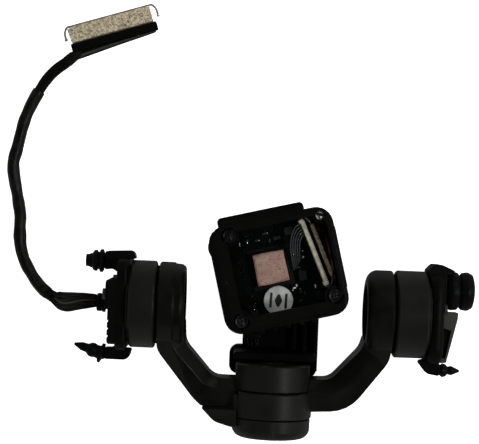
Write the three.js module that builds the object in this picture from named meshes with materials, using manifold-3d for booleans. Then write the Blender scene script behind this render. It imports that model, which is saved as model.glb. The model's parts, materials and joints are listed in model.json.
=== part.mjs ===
// A three-axis camera gimbal from a small folding drone, taken out of the drone and lying on its back.
// X runs along the pitch axis, Y along the yaw axis towards the camera, and Z up, away from the table.
// A U-shaped yoke hangs between two pitch units. Its yaw unit, at the bottom of the U, turns the pan arm,
// which reaches behind the camera and carries the roll unit. The camera housing is open at the front,
// because the lens module is out. A micro-coax cable leaves through the hollow left pitch shaft.
import * as THREE from "three";
import { mergeVertices, toCreasedNormals } from "three/addons/utils/BufferGeometryUtils.js";
import Module from "manifold-3d";

const wasm = await Module();
wasm.setup();

// Driving dimensions, in millimetres. Places are measured from the pitch axis at the yaw axis.
const PITCH_PLACE = [0.3, 2, 13]; // where the two axes cross, in the part's own frame
const REST_Z = -13; // the table that the brackets and the pan arm lie on
const ROLL_Y = 9.4; // height of the roll axis up the yaw axis
const ROLL_REST = THREE.MathUtils.degToRad(14); // how far the camera has rolled where it lies
const GAP = 0.3; // clear space between neighbouring pieces
const FIT = 0.1; // radial play between a shaft and its seat
const WALL = 0.8; // wall of a motor can

// The pitch units: a yoke hub, a can and a bracket on each side, at these distances along X.
const HUB = { r: 8.6, from: 18, to: 23.2, recess: 1.3 };
const LEFT_HUB = { side: -1, fillet: 1.1, coverR: 6.8 };
const RIGHT_HUB = { side: 1, fillet: 2.6, coverR: 5.4 };
const CAN = { r: 8.7, from: 23.7, to: 29.4 };
const BRACKET = { from: 29.7, to: 31.4, block: 33.6, lowBlock: 33, top: 10.1, bottom: -10.4, front: 6.6 };
const RIGHT_BRACKET = { to: 33.2, seat: 33.7, damperY: 5 };
const PITCH_SHAFT = { r: 2, bore: 1.45 };

// The yaw unit, along Y.
const YAW_CAN = { r: 7.4, from: -16, to: -10.6 };
const YAW_HUB = { r: 8, from: -21.3, to: -16.3 };
const YAW_CAP = { r: 7.8, from: -25.6, to: -21.5, fillet: 2.2 };
const YAW_SHAFT_R = 1.3;

// The roll unit, along Z.
const ROLL_SEAT = { r: 8.5, from: REST_Z, to: -8 };
const ROLL_CAN = { r: 8, from: -7.7, to: -2.6 };
const ROLL_SHAFT_R = 1.3;

// The yoke's arms. Their front face slopes, about a line along X, from the pitch hubs down to the yaw hub.
const ARM = { halfDepth: 6.3, edge: 0.9, chamfer: 2.5, chamferDepth: 2.6 };
const ARM_FRONT = { y: -6, z: 5.4, slope: THREE.MathUtils.degToRad(16.2) };

// The camera housing, about the roll axis: its outer box and the edge of its mouth.
const BOX = {
  x: [-12.2, 12],
  y: [-12.1, 9.3],
  mouthX: [-8.9, 10.8],
  mouthY: [-9.1, 7.6],
  back: -2.3,
  front: 9.7,
  wall: 1.4,
  floor: 1.1,
  corner: 3.4,
};
const BOARD = { from: 0.4, to: 1.2 };
const CAMERA_BOSSES = [
  { at: [-8.2, 7.1], r: 2 },
  { at: [9.8, 7.5], r: 1.5 },
  { at: [9.6, -8.4], r: 2 },
  { at: [-9.2, -9.6], r: 2 },
];

// The cable and its connector.
const CABLE_R = 1.2;
const CONNECTOR = { x: -36.1, y: 56.8, turn: THREE.MathUtils.degToRad(17.5), length: 17.4 };

// Finishes, as three.js material settings.
const ANODISED = { color: 0x242526, roughness: 0.42, metalness: 0.75 };
const DARK_CAST = { color: 0x1a1b1c, roughness: 0.5, metalness: 0.6 };
const BLACK_PLASTIC = { color: 0x131314, roughness: 0.55, metalness: 0 };
const RUBBER = { color: 0x151518, roughness: 0.8, metalness: 0 };
const STEEL = { color: 0xa9a9a6, roughness: 0.3, metalness: 1 };
const BLACK_STEEL = { color: 0x2b2b2c, roughness: 0.35, metalness: 0.9 };
const COPPER_COIL = { color: 0x9a5b33, roughness: 0.4, metalness: 0.8 };
const MAGNET = { color: 0x55565a, roughness: 0.35, metalness: 0.9 };
const BOARD_GREEN = { color: 0x0e1a17, roughness: 0.35, metalness: 0.1 };
const CHIP = { color: 0x17181a, roughness: 0.6, metalness: 0 };
const THERMAL_PAD = { color: 0xb89088, roughness: 0.85, metalness: 0 };
const LABEL = { color: 0xb9bbb9, roughness: 0.6, metalness: 0 };
const SOCKET_CREAM = { color: 0xc9c6ad, roughness: 0.5, metalness: 0 };
const GOLD = { color: 0xb39a68, roughness: 0.35, metalness: 1 };
const CABLE_BLACK = { color: 0x101011, roughness: 0.4, metalness: 0 };

// Segments round a full turn, by size of piece.
const COARSE = 8;
const MEDIUM = 16;
const FINE = 32;

// A closed geometry as a solid that can be joined and cut, with its faces pointing out.
function solid(shape) {
  if (!(shape instanceof THREE.BufferGeometry)) return shape;
  const bare = shape.index ? shape.toNonIndexed() : shape.clone();
  bare.deleteAttribute("normal");
  bare.deleteAttribute("uv");
  const merged = mergeVertices(bare, 1e-4);
  const corners = merged.index.array;
  const kept = [];
  for (let i = 0; i < corners.length; i += 3) {
    const [a, b, c] = corners.slice(i, i + 3);
    if (a !== b && b !== c && c !== a) kept.push(a, b, c);
  }
  const vertProperties = merged.attributes.position.array;
  const build = (list) => {
    const triVerts = new Uint32Array(list);
    return new wasm.Manifold(new wasm.Mesh({ numProp: 3, vertProperties, triVerts }));
  };
  const made = build(kept);
  return made.volume() < 0 ? build(kept.reverse()) : made;
}

const sides = (make) => [-1, 1].map(make);
const inset = ([low, high], by) => [low + by, high - by];
const join = (...shapes) => shapes.map(solid).reduce((whole, piece) => whole.add(piece));
const cut = (base, ...tools) => tools.map(solid).reduce((whole, tool) => whole.subtract(tool), solid(base));
const common = (a, b) => solid(a).intersect(solid(b));

// A solid back as a geometry.
function geometryOf(shape) {
  const data = solid(shape).getMesh();
  const geometry = new THREE.BufferGeometry();
  geometry.setAttribute("position", new THREE.BufferAttribute(new Float32Array(data.vertProperties), 3));
  geometry.setIndex(new THREE.BufferAttribute(new Uint32Array(data.triVerts), 1));
  return geometry;
}

// One named piece of the gimbal, with a material of its own.
function piece(group, name, shape, finish) {
  const creased = toCreasedNormals(geometryOf(shape), Math.PI / 6);
  const mesh = new THREE.Mesh(creased, new THREE.MeshStandardMaterial(finish));
  mesh.name = name;
  group.add(mesh);
  return mesh;
}

function box([x0, x1], [y0, y1], [z0, z1]) {
  const geometry = new THREE.BoxGeometry(x1 - x0, y1 - y0, z1 - z0);
  return geometry.translate((x0 + x1) / 2, (y0 + y1) / 2, (z0 + z1) / 2);
}

// A body turned about an axis. Its profile is a list of [radius, distance along the axis].
function turned(axis, profile, segments = MEDIUM, at = [0, 0, 0]) {
  const points = profile.map(([r, t]) => new THREE.Vector2(r, t));
  const geometry = new THREE.LatheGeometry(points, segments);
  if (axis === "x") geometry.rotateZ(-Math.PI / 2);
  if (axis === "z") geometry.rotateX(Math.PI / 2);
  return geometry.translate(...at);
}

function rod(axis, r, from, to, segments, at) {
  return turned(axis, [[0, from], [r, from], [r, to], [0, to]], segments, at);
}

function ring(axis, inner, outer, from, to, segments, at) {
  const profile = [[inner, from], [outer, from], [outer, to], [inner, to], [inner, from]];
  return turned(axis, profile, segments, at);
}

// Points of a quarter round on a turned profile, about [r, t], from one angle to another in degrees.
function round([r, t], radius, fromDegrees, toDegrees, steps = 2) {
  const points = [];
  for (let i = 0; i <= steps; i += 1) {
    const angle = THREE.MathUtils.degToRad(fromDegrees + ((toDegrees - fromDegrees) * i) / steps);
    points.push([r + radius * Math.cos(angle), t + radius * Math.sin(angle)]);
  }
  return points;
}

function outline(points) {
  return new THREE.Shape(points.map(([x, y]) => new THREE.Vector2(x, y)));
}

function roundedRectangle([x0, x1], [y0, y1], r) {
  const shape = new THREE.Shape();
  shape.absarc(x1 - r, y0 + r, r, -Math.PI / 2, 0);
  shape.absarc(x1 - r, y1 - r, r, 0, Math.PI / 2);
  shape.absarc(x0 + r, y1 - r, r, Math.PI / 2, Math.PI);
  shape.absarc(x0 + r, y0 + r, r, Math.PI, 1.5 * Math.PI);
  return shape;
}

// A flat outline in X and Y raised from one height to another, with its edges taken off.
function plate(shape, from, to, edge = 0) {
  const geometry = new THREE.ExtrudeGeometry(shape, {
    depth: to - from - 2 * edge,
    bevelEnabled: edge > 0,
    bevelThickness: edge,
    bevelSize: edge,
    bevelOffset: -edge,
    bevelSegments: 1,
    curveSegments: 3,
  });
  return geometry.translate(0, 0, from + edge);
}

// The same, for an outline in Y and Z that is raised along X.
function sidePlate(shape, from, to, edge) {
  const turn = new THREE.Matrix4().makeBasis(
    new THREE.Vector3(0, 1, 0),
    new THREE.Vector3(0, 0, 1),
    new THREE.Vector3(1, 0, 0),
  );
  return plate(shape, from, to, edge).applyMatrix4(turn);
}

// A tube along a smooth curve through the route's points. The section is given by its two half widths.
function tube(route, halfWide, halfHigh, facets, steps) {
  const section = new THREE.Shape();
  for (let i = 0; i < facets; i += 1) {
    const angle = (2 * Math.PI * (i + 0.5)) / facets;
    const point = [halfHigh * Math.cos(angle), halfWide * Math.sin(angle)];
    if (i === 0) section.moveTo(...point);
    else section.lineTo(...point);
  }
  const curve = new THREE.CatmullRomCurve3(route.map((p) => new THREE.Vector3(...p)));
  return new THREE.ExtrudeGeometry(section, { steps, extrudePath: curve, bevelEnabled: false });
}

// A small machine screw whose head stands on height 0 of its own Z axis.
function screwShape(headR, headHeight, shankR, length) {
  const profile = [[0, -length], [shankR, -length], [shankR, 0], [headR, 0], [headR, headHeight * 0.6]];
  profile.push([headR * 0.75, headHeight], [0, headHeight]);
  return turned("z", profile, COARSE);
}

// A screw whose head faces the given direction.
function screw(group, name, at, direction, finish, [headR, headHeight, shankR, length]) {
  const mesh = piece(group, name, screwShape(headR, headHeight, shankR, length), finish);
  mesh.position.set(...at);
  mesh.quaternion.setFromUnitVectors(new THREE.Vector3(0, 0, 1), new THREE.Vector3(...direction));
}

// A wound stator: a core ring with T-shaped teeth, on the tube that holds the bearings.
function stator(axis, inner, outer, from, to, teeth = 9) {
  const rim = 0.5;
  const core = ring("z", inner, inner + 0.9, from, to, MEDIUM);
  const parts = [core];
  for (let i = 0; i < teeth; i += 1) {
    const turn = (2 * Math.PI * i) / teeth;
    const stem = box([inner + 0.4, outer - rim / 2], [-0.55, 0.55], [from + 0.2, to - 0.2]);
    const half = (Math.PI / teeth) * 0.7 * outer;
    const tip = box([outer - 2 * rim, outer - rim], [-half, half], [from, to]);
    parts.push(stem.rotateZ(turn), tip.rotateZ(turn));
  }
  const whole = geometryOf(join(...parts));
  if (axis === "x") whole.rotateY(Math.PI / 2);
  if (axis === "y") whole.rotateX(-Math.PI / 2);
  return whole;
}

// A cup-shaped motor can that is open at one end, with an optional tube for the bearings in its middle.
// shut is the end with the wall across it, open the other end, and tubeEnd is how far the tube reaches.
function can(axis, r, shut, open, bore, tubeR, tubeEnd, finEdge = 0.35) {
  const way = Math.sign(open - shut);
  return turned(axis, [
    [bore, shut],
    [r - finEdge, shut],
    [r, shut + way * finEdge],
    [r, open],
    [r - WALL, open],
    [r - WALL, shut + way * WALL],
    [tubeR, shut + way * WALL],
    [tubeR, tubeEnd],
    [bore, tubeEnd],
    [bore, shut],
  ], FINE);
}

// The ribbed rubber damper on an arm's end, from its base to its tip along X.
function ribbedDamper(base, tip, ribs, [y, z]) {
  const way = Math.sign(tip - base);
  const profile = [[0, base]];
  ribs.forEach(([r, along]) => profile.push([r, base + way * along]));
  profile.push([0, tip]);
  return turned("x", profile, MEDIUM, [0, y, z]);
}

// ---- Left mount: the fixed side, with the pitch motor's stator and the cable ----

function leftBracket() {
  const { from, to, block, lowBlock, top, bottom, front } = BRACKET;
  const wallOutline = roundedRectangle([bottom + 1.4, top - 1.4], [REST_Z, front], 2.6);
  const wall = sidePlate(wallOutline, -to, -from, 0.3);
  const foot = box([-block, -from - 0.1], [-7.9, 5.1], [REST_Z, REST_Z + 1.6]);
  const bodyOutline = roundedRectangle([-7.9, 5.1], [-7.5, front - 0.4], 1.2);
  const body = sidePlate(bodyOutline, -lowBlock, -to + 0.5, 0.45);
  const boss = sidePlate(roundedRectangle([-2.2, 4.8], [-5.8, 5.6], 1), -block, -lowBlock + 0.4, 0.25);
  const ribs = [-7.3, 3.5].map((y) => {
    return box([-lowBlock + 0.4, -from - 0.3], [y, y + 1.1], [REST_Z + 0.5, -5]);
  });
  const upperArm = new THREE.Shape();
  upperArm.moveTo(-from, 4.6);
  upperArm.lineTo(-from, 8.4);
  upperArm.quadraticCurveTo(-from - 0.2, top + 0.3, -from - 1.9, top + 0.5);
  upperArm.lineTo(-34.2, top + 0.1);
  upperArm.lineTo(-34.2, 6.6);
  upperArm.lineTo(-32.4, 6.8);
  upperArm.quadraticCurveTo(-to, 6.8, -to, 5.6);
  const lowerArm = new THREE.Shape();
  lowerArm.moveTo(-from, -6);
  lowerArm.lineTo(-from, -8.6);
  lowerArm.quadraticCurveTo(-from - 0.3, bottom - 0.5, -from - 2.4, bottom - 0.6);
  lowerArm.lineTo(-33.7, bottom - 0.6);
  lowerArm.lineTo(-33.7, -8.8);
  lowerArm.quadraticCurveTo(-to - 0.1, -8.9, -to, -7.4);
  const arms = [plate(upperArm, -2.3, 2.3, 0.5), plate(lowerArm, -1.8, 1.8, 0.4)];
  const bore = rod("x", 1.7, -block - 1, -from + 1, MEDIUM);
  const screwHoles = sides((side) => {
    return rod("x", 0.75, -block - 1, -from + 1, COARSE, [0, 3.3 * side - 1.4, 4 * side]);
  });
  return cut(join(wall, foot, body, boss, ...ribs, ...arms), bore, ...screwHoles);
}

function cableRoute() {
  // From the gland, down on to the table, and round to the connector, all in the pitch-axis frame.
  return [
    [-35.8, 0.3, 0],
    [-38, 0.1, -0.7],
    [-40, -0.2, -2.5],
    [-42, -0.5, -5.2],
    [-44, -0.4, -8.2],
    [-46, 0.2, -10.5],
    [-47.9, 1.4, -11.5],
    [-49.6, 3.2, -11.75],
    [-50.9, 5.1, -11.75],
    [-52.2, 7.4, -11.75],
    [-53, 9.9, -11.75],
    [-53.3, 11.9, -11.75],
    [-53.4, 14.4, -11.75],
    [-53.4, 16.5, -11.75],
    [-53.8, 18.8, -11.75],
    [-54.3, 21.3, -11.75],
    [-54.8, 23.7, -11.75],
    [-55.2, 26.2, -11.75],
    [-55.2, 28.1, -11.75],
    [-54.7, 30.3, -11.75],
    [-54.2, 32.8, -11.75],
    [-53.4, 36.2, -11.75],
    [-52.3, 39.1, -11.75],
    [-50.9, 42, -11.75],
    [-49.2, 44.9, -11.75],
    [-47.3, 47.1, -11.75],
    [-45, 48.9, -11.7],
  ];
}

function makeLeftMount(group) {
  const { block, lowBlock } = BRACKET;
  piece(group, "left_bracket", leftBracket(), DARK_CAST);
  const bearingSeat = PITCH_SHAFT.r + 0.9;
  const housing = can("x", CAN.r, -CAN.to, -CAN.from, bearingSeat, bearingSeat + 0.6, -24.9);
  piece(group, "left_pitch_can", housing, ANODISED);
  piece(group, "pitch_stator", stator("x", bearingSeat + 0.6 + FIT, 6, -28, -25), COPPER_COIL);
  const race = [PITCH_SHAFT.r + FIT, bearingSeat - FIT];
  piece(group, "pitch_bearing_outer", ring("x", ...race, -28.8, -27.6, MEDIUM), STEEL);
  piece(group, "pitch_bearing_inner", ring("x", ...race, -26.4, -25.2, MEDIUM), STEEL);
  const upperRibs = [
    [1.9, 0],
    [2.25, 0.25],
    [2.25, 0.7],
    [1.75, 1],
    [2.15, 1.4],
    [2, 2],
    [1.45, 2.5],
    [1.3, 2.8],
    [1.2, 3.6],
  ];
  piece(group, "damper_upper_left", ribbedDamper(-34.5, -38.1, upperRibs, [8.3, 0]), RUBBER);
  const lowerRibs = [
    [1.2, 0],
    [2, 0.35],
    [2, 0.7],
    [1.35, 1.1],
    [1.45, 2.3],
    [1.4, 2.8],
    [0.9, 3.5],
    [0.85, 4.5],
    [0.2, 6.2],
  ];
  const lowerDamper = piece(group, "damper_lower_left", ribbedDamper(0, -6.2, lowerRibs, [0, 0]), RUBBER);
  lowerDamper.position.set(-34.1, -9.8, 0);
  lowerDamper.rotation.z = -0.21;
  const screwSize = [1.1, 0.6, 0.6, 3.4];
  const screwPlaces = [[-block - 0.02, 1.9, 4], [-lowBlock - 0.02, -4.7, -4]];
  screwPlaces.forEach((at, i) => {
    screw(group, `left_bracket_screw_${i + 1}`, at, [-1, 0, 0], BLACK_STEEL, screwSize);
  });
  const collar = [[1.4, -35.6], [1.75, -35.6], [2, -33.9], [1.4, -33.9], [1.4, -35.6]];
  piece(group, "cable_gland", turned("x", collar, MEDIUM), RUBBER);
  piece(group, "cable_inner_run", rod("x", 1.15, -35.4, -21, COARSE), CABLE_BLACK);
  piece(group, "cable", tube(cableRoute(), CABLE_R, CABLE_R, 8, 46), CABLE_BLACK);
  makeConnector(group);
}

// The micro-coax connector lies flat, turned in the table's plane, in a group of its own.
function makeConnector(parent) {
  const group = new THREE.Group();
  group.position.set(CONNECTOR.x, CONNECTOR.y, REST_Z);
  group.rotation.z = CONNECTOR.turn;
  parent.add(group);
  const half = CONNECTOR.length / 2;
  const fan = outline([
    [-10.9, -3.8],
    [-10.1, -5.85],
    [-9.2, -5.45],
    [-8.2, -5.1],
    [-3.2, -4.4],
    [2, -4.1],
    [half + 0.4, -3.9],
    [half + 0.4, -3.4],
    [-9.3, -3.4],
  ]);
  piece(group, "cable_fanout", plate(fan, 0.6, 1.8), CABLE_BLACK);
  const body = plate(roundedRectangle([-half - 0.4, half + 0.6], [-3.1, -1.8], 0.2), 0.3, 2.3, 0.15);
  piece(group, "connector_body", body, BLACK_PLASTIC);
  const shell = plate(roundedRectangle([-half + 0.2, half], [-1.5, 1.6], 0.3), 0.2, 2.6, 0.25);
  piece(group, "connector_shell", shell, GOLD);
  const reach = half + 0.9;
  const bar = [
    [-reach - 0.2, -0.4, 1.4],
    [-reach - 0.1, 1, 1.4],
    [-reach + 0.6, 2.2, 1.4],
    [-reach + 1.8, 2.3, 1.4],
    [0, 2.3, 1.4],
    [reach - 1.6, 2.3, 1.4],
    [reach - 0.4, 2.2, 1.4],
    [reach + 0.3, 1, 1.4],
    [reach + 0.4, -0.4, 1.4],
  ];
  piece(group, "connector_lock_bar", tube(bar, 0.22, 0.22, 6, 18), STEEL);
}

// ---- Yoke: hubs, arms and the yaw unit's fixed half ----

function hub({ side, fillet, coverR }) {
  const { r, from, to, recess } = HUB;
  const recessR = coverR + 0.2;
  const profile = [
    [PITCH_SHAFT.r + FIT, side * (from + recess)],
    [recessR, side * (from + recess)],
    [recessR, side * from],
    ...round([r - fillet, side * (from + fillet)], fillet, -90 * side, 0, 3),
    [r, side * to],
    [PITCH_SHAFT.r + FIT, side * to],
    [PITCH_SHAFT.r + FIT, side * (from + recess)],
  ];
  return turned("x", profile, FINE);
}

// The arm's outline on the right, from the yaw hub up to the pitch hub.
function rightArm() {
  const shape = new THREE.Shape();
  shape.moveTo(5, -14.5);
  shape.lineTo(10.4, -14.5);
  shape.quadraticCurveTo(11.9, -14.4, 12.8, -13.4);
  shape.lineTo(17.1, -8.6);
  shape.quadraticCurveTo(HUB.from, -7.6, HUB.from, -6.2);
  shape.lineTo(HUB.from, -5.4);
  shape.lineTo(19.6, -3);
  shape.lineTo(HUB.to, -1);
  shape.lineTo(HUB.to, -7.2);
  shape.quadraticCurveTo(HUB.to, -9.2, 21.8, -10.9);
  shape.lineTo(19.2, -14.6);
  shape.quadraticCurveTo(16, -19.1, 12.2, -19.4);
  shape.lineTo(5, -19.7);
  return shape;
}

// The left arm runs straight down past the yaw hub's side, where the cable cover carries it on.
function leftArm() {
  const shape = new THREE.Shape();
  shape.moveTo(-5, -14.5);
  shape.lineTo(-10.4, -14.5);
  shape.quadraticCurveTo(-11.9, -14.4, -12.8, -13.4);
  shape.lineTo(-17.1, -8.6);
  shape.quadraticCurveTo(-HUB.from, -7.6, -HUB.from, -6.2);
  shape.lineTo(-HUB.from, -1);
  shape.lineTo(-HUB.to, -1);
  shape.lineTo(-HUB.to, -7);
  shape.quadraticCurveTo(-HUB.to, -8.6, -22.1, -10);
  shape.lineTo(-17.2, -16.1);
  shape.quadraticCurveTo(-15.6, -18.2, -14, -19.6);
  shape.lineTo(-5, -19.6);
  return shape;
}

// Lays a shape that stands on Z 0 against the arms' sloping front face.
function onArmFront(geometry) {
  return geometry.rotateX(ARM_FRONT.slope).translate(0, ARM_FRONT.y, ARM_FRONT.z);
}

// The space inside the U, which widens towards the front so that the arms' inner edges slope.
function innerChamfer() {
  const corners = [[HUB.from, 8], [HUB.from, -7.4], [12.4, -13.8], [10.6, -14.5]];
  const mirrored = corners.map(([x, y]) => [-x, y]).reverse();
  const alongSlope = (y) => (y - ARM_FRONT.y) / Math.cos(ARM_FRONT.slope);
  const opening = [...corners, ...mirrored].map(([x, y]) => [x, alongSlope(y)]);
  const geometry = new THREE.ExtrudeGeometry(outline(opening), {
    depth: 4,
    bevelThickness: ARM.chamferDepth,
    bevelSize: ARM.chamfer,
    bevelSegments: 1,
  });
  return onArmFront(geometry);
}

function yawHub() {
  const { r, from, to } = YAW_HUB;
  const tubeR = YAW_SHAFT_R + 1.5;
  const bore = YAW_SHAFT_R + 0.9;
  return turned("y", [
    [bore, from],
    [r, from],
    [r, to - 0.4],
    [r - 0.4, to],
    [r - 1, to],
    [r - 1, from + 1],
    [tubeR, from + 1],
    [tubeR, -12.4],
    [bore, -12.4],
    [bore, from],
  ], FINE);
}

function yokeFrame() {
  const { recess } = HUB;
  const { halfDepth, edge } = ARM;
  const arms = [rightArm(), leftArm()].map((shape) => plate(shape, -halfDepth, halfDepth, edge));
  const inFront = onArmFront(box([-30, 30], [-30, 14], [0, 12]));
  const sloped = cut(join(...arms), inFront, innerChamfer());
  const yawSpace = rod("y", YAW_HUB.r - 0.5, YAW_HUB.from - 3, YAW_HUB.to + 4, FINE);
  const shaftBore = rod("x", PITCH_SHAFT.r + FIT, -HUB.to - 1, HUB.to + 1, MEDIUM);
  const recesses = [LEFT_HUB, RIGHT_HUB].map(({ side, coverR }) => {
    return rod("x", coverR + 0.2, side * 10, side * (HUB.from + recess), FINE);
  });
  const arch = cut(join(sloped, hub(LEFT_HUB), hub(RIGHT_HUB)), yawSpace, shaftBore, ...recesses);
  const capHoles = sides((side) => {
    return rod("y", 0.65, YAW_HUB.from - 1, YAW_HUB.from + 2, COARSE, [4.4 * side, 0, 0]);
  });
  return cut(join(arch, yawHub()), ...capHoles);
}

// The cover reaches round to the yaw unit's side.
function cableCover() {
  const shape = new THREE.Shape();
  shape.moveTo(-13.8, -19.9);
  shape.lineTo(-12, -21.6);
  shape.quadraticCurveTo(-10.4, -23.1, -8.3, -23.4);
  shape.lineTo(-5, -23.4);
  shape.lineTo(-5, -19.9);
  const yawSide = rod("y", YAW_HUB.r + GAP, -27, -18, FINE);
  return cut(plate(shape, -4.6, 4.6, 0.35), yawSide);
}

function yawCap() {
  const { r, from, to, fillet } = YAW_CAP;
  const shell = turned("y", [
    [0, from],
    ...round([r - fillet, from + fillet], fillet, -90, 0),
    [r, to - 0.2],
    [r - 0.2, to],
    [r - 0.9, to],
    [r - 0.9, from + fillet],
    [r - fillet, from + 1],
    [0, from + 1],
  ], FINE);
  const posts = sides((side) => rod("y", 1.5, from + 0.6, to, COARSE, [4.4 * side, 0, 0]));
  const holes = sides((side) => rod("y", 0.65, from - 1, to + 1, COARSE, [4.4 * side, 0, 0]));
  const heads = sides((side) => rod("y", 1.15, from - 1, from + 0.8, COARSE, [4.4 * side, 0, 0]));
  return cut(join(shell, ...posts), ...holes, ...heads);
}

function makeYoke(group) {
  piece(group, "yoke_frame", yokeFrame(), ANODISED);
  const covers = [["left_hub_cover", LEFT_HUB], ["right_hub_cover", RIGHT_HUB]];
  covers.forEach(([name, { side, coverR }]) => {
    const disc = turned("x", [
      [0, side * (HUB.from + 0.15)],
      [coverR - 0.6, side * (HUB.from + 0.15)],
      [coverR, side * (HUB.from + 0.5)],
      [coverR, side * (HUB.from + 1.1)],
      [0, side * (HUB.from + 1.1)],
    ], FINE);
    piece(group, name, disc, BLACK_PLASTIC);
  });
  piece(group, "pitch_magnet_ring", ring("x", 6.3, 7.5, -28, -HUB.to - FIT, FINE), MAGNET);
  const { r, bore } = PITCH_SHAFT;
  piece(group, "pitch_shaft", ring("x", bore, r, -28.9, -HUB.from - 1.5, MEDIUM), STEEL);
  piece(group, "idler_shaft", rod("x", r, HUB.from + 1.5, 28.9, MEDIUM), STEEL);
  piece(group, "left_arm_cable_cover", cableCover(), BLACK_PLASTIC);
  const bearingSeat = YAW_SHAFT_R + 0.9;
  piece(group, "yaw_stator", stator("y", bearingSeat + 0.6 + FIT, 5.3, -16, -12.6), COPPER_COIL);
  const race = [YAW_SHAFT_R + FIT, bearingSeat - FIT];
  piece(group, "yaw_bearing_upper", ring("y", ...race, -14, -12.8, MEDIUM), STEEL);
  piece(group, "yaw_bearing_lower", ring("y", ...race, -20.6, -19.4, MEDIUM), STEEL);
  piece(group, "yaw_cap", yawCap(), ANODISED);
  const screwSize = [0.95, 0.5, 0.5, 4];
  [["yaw_cap_screw_1", -4.4], ["yaw_cap_screw_2", 4.4]].forEach(([name, x]) => {
    screw(group, name, [x, YAW_CAP.from + 0.75, 0], [0, -1, 0], BLACK_STEEL, screwSize);
  });
}

// ---- Right mount: the idler side ----

function rightBracket() {
  const { from, front } = BRACKET;
  const { to, seat, damperY } = RIGHT_BRACKET;
  const wall = sidePlate(roundedRectangle([-10, 8.8], [REST_Z, front], 3.4), from, to, 0.8);
  const hollow = sidePlate(roundedRectangle([-7, 6.6], [REST_Z + 2, -5.6], 1.4), from + 1.6, to + 1, 0);
  const hook = new THREE.Shape();
  hook.moveTo(from + 0.2, 3);
  hook.lineTo(from + 0.2, 7.4);
  hook.quadraticCurveTo(from + 0.4, 10, 32, 10.2);
  hook.quadraticCurveTo(33.4, 10, seat, 8.2);
  hook.lineTo(seat, 2.4);
  hook.lineTo(to - 0.6, 2.4);
  const hookPlate = plate(hook, -3.4, 3.4, 0.7);
  const boss = rod("x", 2.6, to - 1, seat, MEDIUM, [0, damperY, 0]);
  const webOutline = [[to - 0.3, 1], [33.8, 0.8], [35.8, 0.7], [35.9, -0.5], [34, -9.4], [to - 0.3, -9.4]];
  const web = plate(outline(webOutline), -1.4, 1.4, 0.3);
  const tail = new THREE.Shape();
  tail.moveTo(from + 0.4, -8);
  tail.lineTo(from + 0.4, -9.9);
  tail.quadraticCurveTo(from + 0.8, -11.8, 32, -12);
  tail.lineTo(to, -12);
  tail.lineTo(to, -9.8);
  tail.lineTo(to - 0.8, -8);
  const screwHoles = sides((side) => {
    return rod("x", 0.75, from - 1, to + 1, COARSE, [0, 3.3 * side - 1.9, 4 * side]);
  });
  const whole = join(cut(wall, hollow), hookPlate, boss, web, plate(tail, -1.8, 1.8, 0.4));
  return cut(whole, ...screwHoles);
}

function makeRightMount(group) {
  const { to, seat, damperY } = RIGHT_BRACKET;
  piece(group, "right_bracket", rightBracket(), DARK_CAST);
  const bore = PITCH_SHAFT.r + 0.9;
  piece(group, "right_pitch_can", can("x", CAN.r, CAN.to, CAN.from, bore, bore + 0.6, 24.9), ANODISED);
  piece(group, "idler_bearing", ring("x", PITCH_SHAFT.r + FIT, bore - FIT, 26, 28.4, MEDIUM), STEEL);
  const lobes = [
    [2.6, 0],
    [3.5, 0.25],
    [3.9, 1],
    [3.7, 2.2],
    [2.9, 2.6],
    [3.7, 3.1],
    [3.9, 4.1],
    [3.4, 5.1],
    [2.4, 5.5],
  ];
  const damperBase = seat + 0.25;
  const roundDamper = ribbedDamper(damperBase, damperBase + 5.5, lobes, [damperY, 0]);
  piece(group, "damper_upper_right", roundDamper, RUBBER);
  const tailBase = to + 0.25;
  const tail = [[1.1, 0], [1.35, 0.4], [1.2, 1], [0.75, 1.5], [0.8, 2.2], [0.2, 3.4]];
  piece(group, "damper_lower_right", ribbedDamper(tailBase, tailBase + 3.4, tail, [-10.9, 0]), RUBBER);
  const screwSize = [1.1, 0.6, 0.6, 3.4];
  [[1.4, 4], [-5.2, -4]].forEach(([y, z], i) => {
    screw(group, `right_bracket_screw_${i + 1}`, [to + 0.02, y, z], [1, 0, 0], BLACK_STEEL, screwSize);
  });
}

// ---- Pan arm: turns on the yaw unit and carries the roll unit ----

function panArm() {
  const { r, from, to } = ROLL_SEAT;
  const floorFrom = from + 0.9;
  const bore = ROLL_SHAFT_R + 0.9;
  const middle = [0, ROLL_Y, 0];
  const column = plate(roundedRectangle([-6.2, 9.2], [-14.2, 12], 1.2), REST_Z, -9.4, 0.4);
  const base = plate(roundedRectangle([-8.8, 9.2], [-14.2, -8.2], 1.9), REST_Z, -9.4, 0.4);
  const shelf = plate(roundedRectangle([-8, 8.6], [-10.4, -8.8], 0.7), -10, 0.6, 0.3);
  const seat = rod("z", r, from, to, FINE, middle);
  const strip = box([8.4, 9.2], [-12.8, 1], [-9.6, -6.6]);
  const ribs = [3.9, 6.1].map((x) => box([x, x + 0.8], [-8.9, 0.8], [-9.6, -7.6]));
  const cavity = rod("z", r - 0.9, floorFrom + 0.9, to + 1, FINE, middle);
  const recess = rod("z", 6.8, from - 1, floorFrom, FINE, middle);
  const bearingTube = ring("z", bore, bore + 0.6, floorFrom + 0.2, -4, MEDIUM, middle);
  const hole = rod("z", bore, floorFrom - 1, floorFrom + 2, MEDIUM, middle);
  const shell = cut(join(column, base, shelf, seat, strip, ...ribs), cavity, recess);
  return cut(join(shell, bearingTube), hole);
}

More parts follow.
